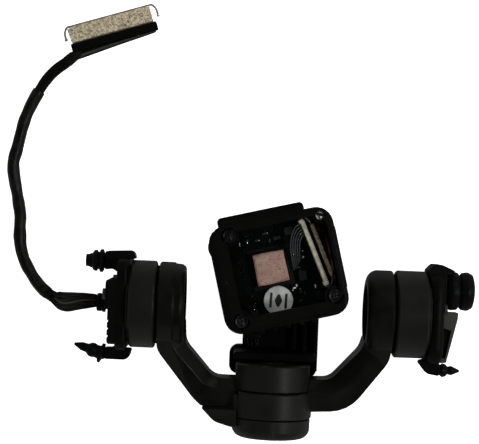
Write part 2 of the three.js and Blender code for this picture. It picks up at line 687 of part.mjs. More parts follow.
function makePanArm(group) {
  piece(group, "pan_arm", panArm(), DARK_CAST);
  const bore = YAW_SHAFT_R + FIT;
  const { from, to } = YAW_CAN;
  piece(group, "yaw_rotor_can", can("y", YAW_CAN.r, to, from, bore, bore + 0.9, to - 1.5), ANODISED);
  piece(group, "yaw_magnet_ring", ring("y", 5.5, 6.5, -15.8, -11.6, FINE), MAGNET);
  piece(group, "yaw_shaft", rod("y", YAW_SHAFT_R, -20.9, to, MEDIUM), STEEL);
  const seat = ROLL_SHAFT_R + 0.9;
  const roll = piece(group, "roll_stator", stator("z", seat + 0.6 + FIT, 5.8, -8.6, -4.6), COPPER_COIL);
  roll.position.y = ROLL_Y;
  const race = [ROLL_SHAFT_R + FIT, seat - FIT];
  [["roll_bearing_rear", -11.4], ["roll_bearing_front", -5.6]].forEach(([name, z]) => {
    piece(group, name, ring("z", ...race, z, z + 1.2, MEDIUM), STEEL).position.y = ROLL_Y;
  });
  const cover = rod("z", 6.5, ROLL_SEAT.from + 0.05, ROLL_SEAT.from + 0.75, FINE);
  piece(group, "roll_back_cover", cover, BLACK_PLASTIC).position.y = ROLL_Y;
  const route = [[-4.2, -8.2], [-4.4, -6.4], [-3.4, -4], [-1.6, -2], [-0.6, 0]].map(([x, y]) => [x, y, -8.3]);
  piece(group, "pan_arm_harness", tube(route, 1.4, 0.7, 8, 12), CABLE_BLACK);
}

// ---- Camera: the open housing, its roll rotor and what is inside ----

function cameraHousing() {
  const { x, y, mouthX, mouthY, back, front, wall, floor, corner } = BOX;
  const outer = plate(roundedRectangle(x, y, corner), back, front, 0.7);
  const ear = rod("z", 2.9, back + 1.4, front - 0.5, MEDIUM, [-9.8, 6.1, 0]);
  const inside = roundedRectangle(inset(x, wall), inset(y, wall), corner - wall);
  const cavity = plate(inside, back + floor, front - 1.4);
  const mouth = plate(roundedRectangle(mouthX, mouthY, 2.6), front - 2, front + 1);
  const lip = plate(roundedRectangle([-9.9, 7.1], [y[1] - 0.8, y[1] + 1.4], 0.9), 2, front - 0.6, 0.2);
  const fins = [-6, -3.4, -0.8, 1.8, 4.4].map((at) => {
    return box([at, at + 0.8], [y[0] - 0.9, y[0] + 0.6], [back + 1, 5]);
  });
  const bosses = CAMERA_BOSSES.flatMap(({ at: [bx, by], r }) => {
    const besideX = bx < 0 ? [x[0], bx] : [bx, x[1]];
    const besideY = by < 0 ? [y[0], by] : [by, y[1]];
    const heights = [back + 0.5, front - 1];
    return [rod("z", r, ...heights, MEDIUM, [bx, by, 0]), box(besideX, besideY, heights)];
  });
  const shell = cut(join(outer, ear, lip, ...fins), cavity, mouth);
  const inner = common(join(...bosses), outer);
  const holes = CAMERA_BOSSES.map(({ at }) => rod("z", 0.75, 2, front + 1, COARSE, [...at, 0]));
  const sinks = CAMERA_BOSSES.map(({ at, r }) => rod("z", r - 0.4, front - 1, front + 1, MEDIUM, [...at, 0]));
  const shaftHole = rod("z", ROLL_SHAFT_R + FIT, back - 1, back + floor + 1, MEDIUM);
  return cut(join(shell, inner), ...holes, ...sinks, shaftHole);
}

function mainBoard() {
  const edge = BOX.wall + GAP;
  const boardOutline = roundedRectangle(inset(BOX.x, edge), inset(BOX.y, edge), 1.6);
  const board = plate(boardOutline, BOARD.from, BOARD.to);
  const corners = CAMERA_BOSSES.map(({ at, r }) => rod("z", r + GAP, 0, 2, MEDIUM, [...at, 0]));
  return cut(board, ...corners, rod("z", ROLL_SHAFT_R + 0.5, 0, 2, MEDIUM));
}

function makeCamera(group) {
  const { front } = BOX;
  piece(group, "camera_housing", cameraHousing(), DARK_CAST);
  const bore = ROLL_SHAFT_R + FIT;
  const { r, from, to } = ROLL_CAN;
  piece(group, "roll_rotor_can", can("z", r, to, from, bore, bore + 0.9, to - 1.2), ANODISED);
  piece(group, "roll_magnet_ring", ring("z", 6, 7, -7.5, -3.6, FINE), MAGNET);
  piece(group, "roll_shaft", rod("z", ROLL_SHAFT_R, -11.6, -1.4, MEDIUM), STEEL);
  piece(group, "main_board", mainBoard(), BOARD_GREEN);
  const chip = box([-5, 2.1], [-4.2, 2.7], [BOARD.to + FIT, 2.2]);
  piece(group, "image_processor", chip, CHIP);
  const pad = plate(roundedRectangle([-4.6, 1.65], [-3.9, 2.3], 0.3), 2.5, 3.5, 0.1);
  piece(group, "thermal_pad", pad, THERMAL_PAD);
  piece(group, "round_label", rod("z", 2.9, 1.6, 1.9, FINE, [-1.3, -7.5, 0]), LABEL);
  makeCoax(group);
  CAMERA_BOSSES.forEach(({ at }, i) => {
    const bright = i === 1;
    const size = [bright ? 0.9 : 1.25, 0.7, 0.6, 5];
    const finish = bright ? STEEL : BLACK_STEEL;
    const place = [...at, front - 0.95];
    screw(group, `camera_screw_${i + 1}`, place, [0, 0, 1], finish, size);
  });
}

// The coax socket stands on the board beside the right wall, and its leads curve over to the middle.
function makeCoax(parent) {
  const group = new THREE.Group();
  group.position.set(7.5, 0.6, 0);
  group.rotation.z = THREE.MathUtils.degToRad(10.1);
  parent.add(group);
  const foot = BOARD.to + FIT;
  piece(group, "coax_socket", box([-0.5, 0.5], [-6.7, 6.7], [foot, 6]), SOCKET_CREAM);
  piece(group, "coax_contact_bar", box([1.2, 2], [-5.7, 5.4], [foot, 5.6]), GOLD);
  const leads = [[-1.4, 5.3, 5.2], [-2.4, 4.2, 5], [-3.7, 2.5, 4.4], [-4.5, 0.4, 3.3], [-4.6, -1.8, 1.95]];
  piece(group, "coax_leads", tube(leads, 0.7, 0.5, 8, 14), CABLE_BLACK);
}

const gimbal = new THREE.Group();
gimbal.name = "camera_gimbal";
const pitchFrame = new THREE.Group();
pitchFrame.position.set(...PITCH_PLACE);
gimbal.add(pitchFrame);

const camera = new THREE.Group();
camera.position.y = ROLL_Y;
camera.rotation.z = ROLL_REST;
pitchFrame.add(camera);

makeLeftMount(pitchFrame);
makeYoke(pitchFrame);
makeRightMount(pitchFrame);
makePanArm(pitchFrame);
makeCamera(camera);

export default gimbal;
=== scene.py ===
import json
import math
import random

import bmesh
import bpy
from mathutils import Matrix, Vector


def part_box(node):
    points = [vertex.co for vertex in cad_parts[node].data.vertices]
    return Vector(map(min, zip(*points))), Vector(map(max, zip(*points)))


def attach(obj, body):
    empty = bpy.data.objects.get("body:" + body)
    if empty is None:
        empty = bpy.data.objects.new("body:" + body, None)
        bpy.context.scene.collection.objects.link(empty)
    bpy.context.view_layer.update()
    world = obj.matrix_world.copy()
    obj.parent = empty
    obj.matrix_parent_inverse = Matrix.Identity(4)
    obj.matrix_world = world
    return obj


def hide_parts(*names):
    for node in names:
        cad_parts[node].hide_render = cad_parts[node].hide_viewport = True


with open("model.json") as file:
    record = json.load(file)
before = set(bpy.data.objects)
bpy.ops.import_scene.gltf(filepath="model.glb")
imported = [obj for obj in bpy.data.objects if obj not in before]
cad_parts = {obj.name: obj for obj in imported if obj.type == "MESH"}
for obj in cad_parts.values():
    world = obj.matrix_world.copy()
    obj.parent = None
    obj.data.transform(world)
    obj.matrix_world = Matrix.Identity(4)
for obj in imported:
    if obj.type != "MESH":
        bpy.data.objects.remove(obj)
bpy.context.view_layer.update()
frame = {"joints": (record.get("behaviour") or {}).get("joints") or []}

# ---- Places. Shapes are made in millimetres about the pitch axis, the roll axis or the connector. ----

MM = 0.001
JOINTS = {joint["name"]: joint for joint in frame["joints"]}
PITCH_PLACE = Vector((JOINTS["yaw"]["pos_m"][0], JOINTS["pitch"]["pos_m"][1], JOINTS["pitch"]["pos_m"][2]))
ROLL_PLACE = Vector((JOINTS["roll"]["pos_m"][0], JOINTS["roll"]["pos_m"][1], PITCH_PLACE.z))
ROLL_Y = (ROLL_PLACE.y - PITCH_PLACE.y) / MM
ROLL_REST = math.radians(14)
CONNECTOR_TURN = math.radians(17.5)
REST_Z = -PITCH_PLACE.z / MM

GIMBAL = Matrix.Translation(PITCH_PLACE) @ Matrix.Scale(MM, 4)
HOUSING = Matrix.Translation(ROLL_PLACE) @ Matrix.Rotation(ROLL_REST, 4, "Z") @ Matrix.Scale(MM, 4)
CONNECTOR = GIMBAL @ Matrix.Translation((-36.1, 56.8, REST_Z)) @ Matrix.Rotation(CONNECTOR_TURN, 4, "Z")
SOCKET = HOUSING @ Matrix.Translation((7.5, 0.6, 0)) @ Matrix.Rotation(math.radians(10.1), 4, "Z")


def span(node, axis):
    """From where to where a CAD node reaches along an axis, in millimetres about the pitch place."""
    low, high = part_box(node)
    return (low[axis] - PITCH_PLACE[axis]) / MM, (high[axis] - PITCH_PLACE[axis]) / MM


# ---- The camera: straight above, at the height and turn of the photograph. ----

CAMERA_OFFSET = Vector((-0.0078, 0.0171, 0.290))
camera = bpy.data.objects.new("camera", bpy.data.cameras.new("camera"))
camera.location = PITCH_PLACE + CAMERA_OFFSET
camera.rotation_euler = (0, 0, math.radians(2.3))
camera.data.lens = 109
camera.data.sensor_width = 36
bpy.context.scene.collection.objects.link(camera)
bpy.context.scene.camera = camera
bpy.context.scene.view_settings.view_transform = "Standard"

# ---- Mesh tools. A shell is a closed surface as (points, faces). ----

ARC_STEP = math.radians(15)
TURN_STEPS = 96
AXES = {"x": (2, 0, 1), "y": (1, 2, 0), "z": (0, 1, 2)}


def about_axis(points, axis, at=(0, 0, 0)):
    """Points made about Z, turned to lie about another axis and moved to a place."""
    return [tuple(point[k] + shift for k, shift in zip(AXES[axis], at)) for point in points]


def rounded(corners, closed=True):
    """The corners as points, with an arc in place of each corner (x, y, radius)."""
    points = []
    last = len(corners) - 1
    for i, corner in enumerate(corners):
        here = Vector(corner[:2])
        radius = corner[2] if len(corner) > 2 else 0
        if radius == 0 or (not closed and i in (0, last)):
            points.append(tuple(here))
            continue
        before = (Vector(corners[i - 1][:2]) - here).normalized()
        after = (Vector(corners[(i + 1) % len(corners)][:2]) - here).normalized()
        half = before.angle(after) / 2
        centre = here + (before + after).normalized() * radius / math.sin(half)
        start = here + before * radius / math.tan(half) - centre
        turn = math.pi - 2 * half
        if before.x * after.y - before.y * after.x > 0:
            turn = -turn
        steps = max(2, math.ceil(abs(turn) / ARC_STEP))
        for step in range(steps + 1):
            points.append(tuple(centre + Matrix.Rotation(turn * step / steps, 2) @ start))
    return points


def rectangle(x, y, radius):
    return rounded([(x[0], y[0], radius), (x[1], y[0], radius), (x[1], y[1], radius), (x[0], y[1], radius)])


def lathe(profile, axis="z", at=(0, 0, 0), steps=TURN_STEPS):
    """Turns a profile of (radius, distance along the axis). It ends on the axis or closes on itself."""
    points, rings, faces = [], [], []
    for radius, along in profile:
        if radius < 1e-6:
            rings.append([len(points)] * steps)
            points.append((0, 0, along))
            continue
        rings.append(list(range(len(points), len(points) + steps)))
        for step in range(steps):
            angle = 2 * math.pi * step / steps
            points.append((radius * math.cos(angle), radius * math.sin(angle), along))
    following = rings[1:] + rings[:1] if profile[0][0] > 1e-6 else rings[1:]
    for low, high in zip(rings, following):
        for step in range(steps):
            after = (step + 1) % steps
            corners = list(dict.fromkeys((low[step], low[after], high[after], high[step])))
            if len(corners) > 2:
                faces.append(corners)
    return about_axis(points, axis, at), faces


def rod(axis, radius, low, high, edge=0.0, at=(0, 0, 0), steps=48):
    return lathe(rounded([(0, low), (radius, low, edge), (radius, high, edge), (0, high)], False), axis,
                 at, steps)


def ring(axis, inner, outer, low, high, edge=0.1, at=(0, 0, 0), steps=TURN_STEPS):
    corners = [(inner, low, edge), (outer, low, edge), (outer, high, edge), (inner, high, edge)]
    return lathe(rounded(corners), axis, at, steps)


def offset(outline, by):
    """The outline moved inwards by a distance, along the bisector at each point."""
    area = sum(a[0] * b[1] - b[0] * a[1] for a, b in zip(outline, outline[1:] + outline[:1]))
    way = by if area > 0 else -by
    moved = []
    for i, point in enumerate(outline):
        here = Vector(point)
        before = (here - Vector(outline[i - 1])).normalized()
        after = (Vector(outline[(i + 1) % len(outline)]) - here).normalized()
        inwards = Vector((-before.y - after.y, before.x + after.x))
        length = inwards.length
        moved.append(tuple(here + inwards * (2 * way / max(length * length, 0.4))))
    return moved


def plate(outline, low, high, edge=0.0, axis="z"):
    """An outline raised from one height to another, with both of its edges rounded off."""
    steps = 3 if edge else 0
    levels = [(edge * (1 - math.sin(a)), edge * (1 - math.cos(a)))
              for a in quarter(steps)] if edge else [(0, 0)]
    heights = [(inset, low + rise) for inset, rise in levels]
    heights += [(inset, high - rise) for inset, rise in reversed(levels)]
    points, faces = [], []
    count = len(outline)
    for inset, height in heights:
        shape = offset(outline, inset) if inset > 1e-9 else outline
        points += [(x, y, height) for x, y in shape]
    for level in range(len(heights) - 1):
        for i in range(count):
            j = (i + 1) % count
            base = level * count
            faces.append([base + i, base + j, base + count + j, base + count + i])
    faces.append(list(range(count))[::-1])
    faces.append([len(points) - count + i for i in range(count)])
    return about_axis(points, axis), faces


def quarter(steps):
    return [math.pi / 2 * step / steps for step in range(steps + 1)]


def oval(wide, high, steps):
    """Half of an oval's outline, which a lathe turns into a ball or a drop."""
    angles = [math.pi * k / steps for k in range(steps + 1)]
    return [(wide * math.sin(a), -high * math.cos(a)) for a in angles]


def block(x, y, z, edge=0.1):
    return plate([(x[0], y[0]), (x[1], y[0]), (x[1], y[1]), (x[0], y[1])], z[0], z[1], edge)


def moved(shell, matrix):
    points, faces = shell
    return [tuple(matrix @ Vector(p)) for p in points], faces


def placed(shell, at, turn=0.0, axis="Z"):
    return moved(shell, Matrix.Translation(at) @ Matrix.Rotation(turn, 4, axis))


def together(shells):
    points, faces = [], []
    for some_points, some_faces in shells:
        base = len(points)
        points += some_points
        faces += [[base + i for i in face] for face in some_faces]
    return points, faces


def smooth_path(stops, step):
    """Points a step apart along a Catmull-Rom curve through the stops."""
    stops = [Vector(p) for p in stops]
    ends = [2 * stops[0] - stops[1]] + stops + [2 * stops[-1] - stops[-2]]
    fine = []
    for a, b, c, d in zip(ends, ends[1:], ends[2:], ends[3:]):
        for k in range(24):
            t = k / 24
            fine.append(0.5 * (2 * b + (c - a) * t + (2 * a - 5 * b + 4 * c - d) * t**2
                               + (3 * b - a - 3 * c + d) * t**3))
    fine.append(stops[-1])
    travelled = [0.0]
    for a, b in zip(fine, fine[1:]):
        travelled.append(travelled[-1] + (b - a).length)
    count = max(2, round(travelled[-1] / step))
    path, k = [], 0
    for i in range(count + 1):
        want = travelled[-1] * i / count
        while k < len(fine) - 2 and travelled[k + 1] < want:
            k += 1
        share = (want - travelled[k]) / max(travelled[k + 1] - travelled[k], 1e-9)
        path.append(fine[k].lerp(fine[k + 1], min(share, 1)))
    return path


def frames_along(path):
    """Two directions across the path at each of its points, carried along it without twist."""
    made = []
    across = None
    for i, point in enumerate(path):
        ahead = (path[min(i + 1, len(path) - 1)] - path[max(i - 1, 0)]).normalized()
        if across is None:
            across = ahead.cross(Vector((0, 0, 1)) if abs(ahead.z) < 0.9 else Vector((1, 0, 0)))
        across = (across - ahead * across.dot(ahead)).normalized()
        made.append((point, across, ahead.cross(across)))
    return made


def sweep(path, radius, sides=8):
    """A tube along a path. Its radius is a number, or a function of (share of the way, angle)."""
    at = radius if callable(radius) else lambda share, angle: radius
    points, faces = [], []
    line = frames_along(path)
    for i, (centre, across, up) in enumerate(line):
        for k in range(sides):
            angle = 2 * math.pi * k / sides
            out = at(i / (len(line) - 1), angle)
            points.append(tuple(centre + (across * math.cos(angle) + up * math.sin(angle)) * out))
    for i in range(len(line) - 1):
        for k in range(sides):
            j = (k + 1) % sides
            faces.append([i * sides + k, i * sides + j, (i + 1) * sides + j, (i + 1) * sides + k])
    faces.append(list(range(sides))[::-1])
    faces.append([len(points) - sides + k for k in range(sides)])
    return points, faces


def wire(stops, radius, sides=8, step=0.3):
    return sweep(smooth_path(stops, step), radius, sides)


def mesh_of(shell, name="shape"):
    mesh = bpy.data.meshes.new(name)
    mesh.from_pydata(shell[0], [], shell[1])
    whole = bmesh.new()
    whole.from_mesh(mesh)
    bmesh.ops.recalc_face_normals(whole, faces=whole.faces)
    whole.to_mesh(mesh)
    whole.free()
    return mesh


def with_modifiers(shell, add):
    """The shell after the modifiers that add() puts on it."""
    carrier = bpy.data.objects.new("carrier", mesh_of(shell))
    bpy.context.scene.collection.objects.link(carrier)
    helpers = add(carrier)
    bpy.context.view_layer.update()
    made = bpy.data.meshes.new_from_object(carrier.evaluated_get(bpy.context.evaluated_depsgraph_get()))
    result = [tuple(v.co) for v in made.vertices], [list(p.vertices) for p in made.polygons]
    for thing in [carrier, *helpers]:
        bpy.data.objects.remove(thing)
    return result


def combined(base, joins=(), cuts=()):
    """The base joined with some shells, then cut by others."""
    def add(carrier):
        helpers = []
        for operation, shells in (("UNION", joins), ("DIFFERENCE", cuts)):
            for shell in shells:
                helper = bpy.data.objects.new("helper", mesh_of(shell))
                bpy.context.scene.collection.objects.link(helper)
                modifier = carrier.modifiers.new("combine", "BOOLEAN")
                modifier.operation = operation
                modifier.solver = "EXACT"
                modifier.object = helper
                helpers.append(helper)
        return helpers
    return with_modifiers(base, add)


def softened(shell, width, segments=3, degrees=35):
    """The shell with its sharp edges rounded off."""
    def add(carrier):
        bevel = carrier.modifiers.new("bevel", "BEVEL")
        bevel.width = width
        bevel.segments = segments
        bevel.limit_method = "ANGLE"
        bevel.angle_limit = math.radians(degrees)
        bevel.use_clamp_overlap = True
        bevel.miter_outer = "MITER_ARC"
        return []
    return with_modifiers(shell, add)


def show(name, shells, body, finish, stands_for=(), place=GIMBAL, crease=32):
    """Makes one piece from its shells, smooth but for its creases, and lets it ride on its body."""
    mesh = mesh_of(together(shells if isinstance(shells, list) else [shells]), name)
    mesh.transform(place)
    mesh.polygons.foreach_set("use_smooth", [True] * len(mesh.polygons))
    mesh.set_sharp_from_angle(angle=math.radians(crease))
    piece = bpy.data.objects.new(name, mesh)
    bpy.context.scene.collection.objects.link(piece)
    weighted = piece.modifiers.new("weighted", "WEIGHTED_NORMAL")
    weighted.keep_sharp = True
    weighted.weight = 60
    bpy.context.view_layer.update()
    done = bpy.data.meshes.new_from_object(piece.evaluated_get(bpy.context.evaluated_depsgraph_get()))
    piece.modifiers.clear()
    piece.data = done
    done.name = name
    done.materials.clear()
    done.materials.append(finish)
    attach(piece, body)
    if stands_for:
        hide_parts(*([stands_for] if isinstance(stands_for, str) else stands_for))
    return piece


# ---- Finishes. Textures lie in object space, in metres. ----


class Finish:
    """One node material, and short names for the nodes that build it up."""

    def __init__(self, name, color, roughness, metallic=0.0, specular=0.5, coat=0.0, stretch=(1, 1, 1)):
        self.material = bpy.data.materials.new(name)
        self.material.use_nodes = True
        self.tree = self.material.node_tree
        self.shader = self.tree.nodes["Principled BSDF"]
        self.color = color
        self.set("Base Color", (*color, 1))
        self.set("Roughness", roughness)
        self.set("Metallic", metallic)
        self.set("Specular IOR Level", specular)
        self.set("Coat Weight", coat)
        where = self.node("ShaderNodeTexCoord")
        mapping = self.node("ShaderNodeMapping", {"Scale": stretch})
        self.link(where.outputs["Object"], mapping.inputs["Vector"])
        self.where = mapping.outputs["Vector"]

    def node(self, kind, inputs=None, **values):
        made = self.tree.nodes.new(kind)
        for key, value in values.items():
            setattr(made, key, value)
        for socket, value in (inputs or {}).items():
            made.inputs[socket].default_value = value
        return made

    def link(self, output, to):
        self.tree.links.new(output, to)

    def set(self, socket, value):
        self.shader.inputs[socket].default_value = value

    def noise(self, scale, detail=2.0, roughness=0.5, where=None, distortion=0.0):
        made = self.node("ShaderNodeTexNoise", {"Scale": scale, "Detail": detail, "Roughness": roughness,
                                                "Distortion": distortion})
        self.link(where or self.where, made.inputs["Vector"])
        return made.outputs["Fac"]

    def cells(self, scale, feature="F1"):
        made = self.node("ShaderNodeTexVoronoi", {"Scale": scale}, feature=feature)
        self.link(self.where, made.inputs["Vector"])
        return made.outputs["Distance"]

    def ranged(self, value, low, high, to_low=0.0, to_high=1.0):
        made = self.node("ShaderNodeMapRange", {"From Min": low, "From Max": high, "To Min": to_low,
                                                "To Max": to_high})
        self.link(value, made.inputs["Value"])
        return made.outputs["Result"]

    def mixed(self, factor, a, b):
        made = self.node("ShaderNodeMix", data_type="RGBA")
        self.link(factor, made.inputs["Factor"])
        for socket, value in ((made.inputs[6], a), (made.inputs[7], b)):
            if isinstance(value, tuple):
                socket.default_value = (*value, 1)
            else:
                self.link(value, socket)
        return made.outputs[2]

    def edges(self, low=0.51, high=0.56):
        """Where the surface turns outwards, as worn edges do."""
        return self.ranged(self.node("ShaderNodeNewGeometry").outputs["Pointiness"], low, high)

    def color_from(self, output):
        self.link(output, self.shader.inputs["Base Color"])

    def roughness_from(self, output):
        self.link(output, self.shader.inputs["Roughness"])

    def bump(self, *heights):
        """Bumps from (height, strength, depth in metres), each over the one before."""
        normal = None
        for height, strength, depth in heights:
            made = self.node("ShaderNodeBump", {"Strength": strength, "Distance": depth})
            self.link(height, made.inputs["Height"])
            if normal is not None:
                self.link(normal, made.inputs["Normal"])
            normal = made.outputs["Normal"]
        self.link(normal, self.shader.inputs["Normal"])


def scaled(color, by):
    return tuple(min(1.0, part * by) for part in color)


def worn(name, color, roughness, grain, depth, wear=3.0, mottle=260, spread=0.08, **shader):
    """A painted, anodised or moulded surface: fine grain, uneven gloss and paler edges."""
    made = Finish(name, color, roughness, **shader)
    cloud = made.noise(mottle, 4)
    base = made.mixed(made.ranged(cloud, 0.35, 0.65), scaled(color, 0.8), scaled(color, 1.25))
    made.color_from(made.mixed(made.edges(), base, scaled(color, wear)))
    fine = made.noise(grain, 3)
    made.roughness_from(made.ranged(cloud, 0.3, 0.7, roughness - spread, roughness + spread))
    made.bump((fine, 0.35, depth), (cloud, 0.1, depth * 3))
    return made.material


def turned_metal(name, axis, color=(0.0054, 0.0056, 0.0046), roughness=0.44):
    """Dark anodising over the fine rings that turning leaves round an axis."""
    stretch = [0.02, 0.02, 0.02]
    stretch["xyz".index(axis)] = 1
    made = Finish(name, color, roughness, metallic=0.15, specular=0.12)
    lines = made.node("ShaderNodeMapping", {"Scale": stretch})
    made.link(made.node("ShaderNodeTexCoord").outputs["Object"], lines.inputs["Vector"])
    rings = made.noise(14000, 3, where=lines.outputs["Vector"])
    cloud = made.noise(220, 4)
    speckle = made.noise(9000, 2)
    base = made.mixed(made.ranged(cloud, 0.35, 0.65), scaled(color, 0.85), scaled(color, 1.2))
    made.color_from(made.mixed(made.edges(0.51, 0.55), base, scaled(color, 3.2)))
    made.roughness_from(made.ranged(rings, 0.3, 0.7, roughness - 0.07, roughness + 0.09))
    made.bump((rings, 0.12, 0.000012), (speckle, 0.16, 0.000008))
    return made.material


def bright_metal(name, color, roughness, stretch=(1, 1, 1)):
    """Ground or drawn bright metal with fine scratches."""
    made = Finish(name, color, roughness, metallic=1.0, stretch=stretch)
    scratches = made.noise(7000, 3)
    stain = made.noise(500, 3)
    made.color_from(made.mixed(made.ranged(stain, 0.4, 0.7), color, scaled(color, 0.7)))
    made.roughness_from(made.ranged(scratches, 0.3, 0.7, roughness - 0.08, roughness + 0.12))
    made.bump((scratches, 0.25, 0.00001))
    return made.material


def foil():
    """Crinkled gold shielding tape, dark and pale along its crumple as painted shade and light of the folds,
    with near-white painted highlights in spots.
    """
    made = Finish("gold_foil", (0.42, 0.33, 0.19), 0.32, metallic=0.55)
    folds = made.cells(2100, "DISTANCE_TO_EDGE")
    crumple = made.noise(1250, 8, 0.72, distortion=1.2)
    # Near-white spots: painted highlights.
    painted_glints = made.ranged(made.noise(2900, 6, 0.75), 0.5, 0.62)
    # The base runs from dark to pale with the crumple: painted shade and light of the folds.
    base = made.mixed(made.ranged(crumple, 0.4, 0.6), (0.2, 0.155, 0.08), (0.8, 0.67, 0.42))
    made.color_from(made.mixed(painted_glints, base, (1.0, 0.97, 0.84)))
    made.roughness_from(made.ranged(crumple, 0.3, 0.7, 0.22, 0.5))
    made.bump((folds, 0.5, 0.00005), (crumple, 0.9, 0.00016))
    return made.material


def gap_filler():
    """Soft thermal pad: pink-grey, with the print of what pressed on it."""
    made = Finish("thermal_pad", (0.42, 0.25, 0.21), 0.75, specular=0.25)
    swirl = made.noise(330, 2, 0.45, distortion=3.2)
    vein = made.ranged(swirl, 0.455, 0.5)
    vein_end = made.ranged(swirl, 0.5, 0.545, 1.0, 0.0)
    line = made.node("ShaderNodeMath", operation="MULTIPLY")
    made.link(vein, line.inputs[0])
    made.link(vein_end, line.inputs[1])
    cloud = made.noise(300, 3)
    base = made.mixed(made.ranged(cloud, 0.38, 0.62), (0.32, 0.205, 0.165), (0.36, 0.27, 0.22))
    streaked = made.mixed(made.ranged(line.outputs[0], 0.25, 0.9, 0.0, 0.9), base, (0.24, 0.1, 0.06))
    made.color_from(made.mixed(made.edges(0.53, 0.6), streaked, (0.32, 0.13, 0.06)))
    made.roughness_from(made.ranged(cloud, 0.3, 0.7, 0.6, 0.85))
    made.bump((line.outputs[0], 0.25, 0.00004), (made.noise(5000, 2), 0.15, 0.00001))
    return made.material


def tape_wrap():
    """Black acetate tape pulled tight over the strands, creased along and across."""
    color = (0.003, 0.0032, 0.0025)
    made = Finish("cable_tape", color, 0.4, specular=0.12)
    creases = made.noise(900, 5, 0.6, distortion=1.2)
    fabric = made.noise(9000, 2)
    made.color_from(made.mixed(made.ranged(creases, 0.4, 0.65), scaled(color, 0.6), scaled(color, 2.0)))
    made.roughness_from(made.ranged(creases, 0.35, 0.65, 0.3, 0.52))
    made.bump((creases, 0.6, 0.00012), (fabric, 0.2, 0.00001))
    return made.material


def circuit_board():
    """Dark green-black solder mask over copper tracks."""
    made = Finish("board", (0.0012, 0.0022, 0.002), 0.26, specular=0.05)
    pattern = {"Scale": 420, "Mortar Size": 0.06, "Color1": (0, 0, 0, 1), "Color2": (0.1, 0.1, 0.1, 1),
               "Mortar": (1, 1, 1, 1)}
    tracks = made.node("ShaderNodeTexBrick", pattern, offset=0.37, squash=0.6, squash_frequency=3)
    made.link(made.where, tracks.inputs["Vector"])
    cloud = made.noise(500, 3)
    base = made.mixed(made.ranged(cloud, 0.4, 0.6), (0.0009, 0.0014, 0.0014), (0.0014, 0.0026, 0.0024))
    made.color_from(made.mixed(tracks.outputs["Color"], base, (0.0018, 0.004, 0.0034)))
    made.roughness_from(made.ranged(cloud, 0.3, 0.7, 0.2, 0.4))
    made.bump((tracks.outputs["Color"], 0.35, 0.00003), (made.noise(5000, 2), 0.15, 0.00001))
    return made.material


CAST = worn("cast_black", (0.0014, 0.0015, 0.0013), 0.42, 5200, 0.00002, wear=2, specular=0.03)
ANODISED_X = turned_metal("anodised_pitch", "x")
ANODISED_Y = turned_metal("anodised_yaw", "y")
ANODISED_Z = turned_metal("anodised_roll", "z")
YOKE_METAL = worn("anodised_yoke", (0.003, 0.0031, 0.0025), 0.34, 6500, 0.000008, wear=2.6, specular=0.08)
PLASTIC = worn("black_moulding", (0.002, 0.0021, 0.0018), 0.5, 4200, 0.00003, wear=2, specular=0.0)
RUBBER = worn("black_rubber", (0.0016, 0.0018, 0.0021), 0.46, 3600, 0.00004, wear=2, specular=0.06)
# Pale grey for the web beside the right bracket: painted shadow, standing for the grey shadow on the floor
# there.
WEB_SHADOW_GREY = worn("grey_web_painted_shadow", (0.024, 0.0235, 0.021), 0.55, 4200, 0.00005, wear=1.8, mottle=600,
                specular=0.1)
STEEL = bright_metal("bright_steel", (0.62, 0.61, 0.58), 0.26)
BLACK_STEEL = worn("black_oxide", (0.006, 0.006, 0.0065), 0.34, 5000, 0.00002, wear=5, metallic=0.4,
                   specular=0.25)
COPPER = bright_metal("copper_winding", (0.46, 0.17, 0.065), 0.34, stretch=(1, 1, 0.1))
IRON = worn("laminated_iron", (0.1, 0.1, 0.105), 0.45, 3000, 0.00002, metallic=0.8)
MAGNET = worn("magnet_black", (0.004, 0.004, 0.0045), 0.5, 4000, 0.00002, specular=0.1)
FOIL = foil()
PAD = gap_filler()
TAPE = tape_wrap()
BOARD = circuit_board()
JACKET = worn("coax_jacket", (0.0016, 0.0016, 0.0013), 0.4, 2600, 0.00003, wear=2, mottle=900,
              specular=0.06)
# Paler olive colour for three strands: painted sheen, the olive tint of the strands' highlights.
JACKET_OLIVE_SHEEN = worn("coax_jacket_olive_sheen", (0.009, 0.0078, 0.004), 0.34, 2600, 0.00003, wear=2, mottle=900,
                    specular=0.15)
FILM = worn("grey_film", (0.02, 0.019, 0.017), 0.42, 1500, 0.00005, wear=1.6, mottle=700)
CHIP = worn("chip_package", (0.0022, 0.0022, 0.0024), 0.5, 5200, 0.00002, wear=2.5, specular=0.12)
LABEL = worn("label_film", (0.42, 0.43, 0.41), 0.42, 2600, 0.00001, wear=1.1, mottle=500)
LABEL_INK = worn("label_ink", (0.008, 0.008, 0.009), 0.4, 3000, 0.00001, wear=1.2)
CREAM = worn("socket_cream", (0.38, 0.36, 0.27), 0.42, 3500, 0.00002, wear=1.5, mottle=800)
GOLD = bright_metal("gold_contacts", (0.95, 0.8, 0.52), 0.45)
COPPER_WIRE = worn("wire_red_brown", (0.018, 0.006, 0.0045), 0.35, 2500, 0.00002, wear=2)
SOLDER = bright_metal("solder", (0.75, 0.75, 0.74), 0.2)
# Pale, nearly white diffuse colour for the solder drops: a painted glint.
PAINTED_GLINT = worn("solder_painted_glint", (0.5, 0.5, 0.47), 0.22, 2500, 0.00003, wear=1.4, specular=0.8)
LEAD = worn("coax_lead_grey", (0.03, 0.031, 0.033), 0.3, 2600, 0.00002, wear=1.6, specular=0.5)
CERAMIC = worn("ceramic_parts", (0.011, 0.0095, 0.0075), 0.3, 3500, 0.00002, wear=2)

# ---- The cable: nineteen coax strands, under tape for most of the way. ----

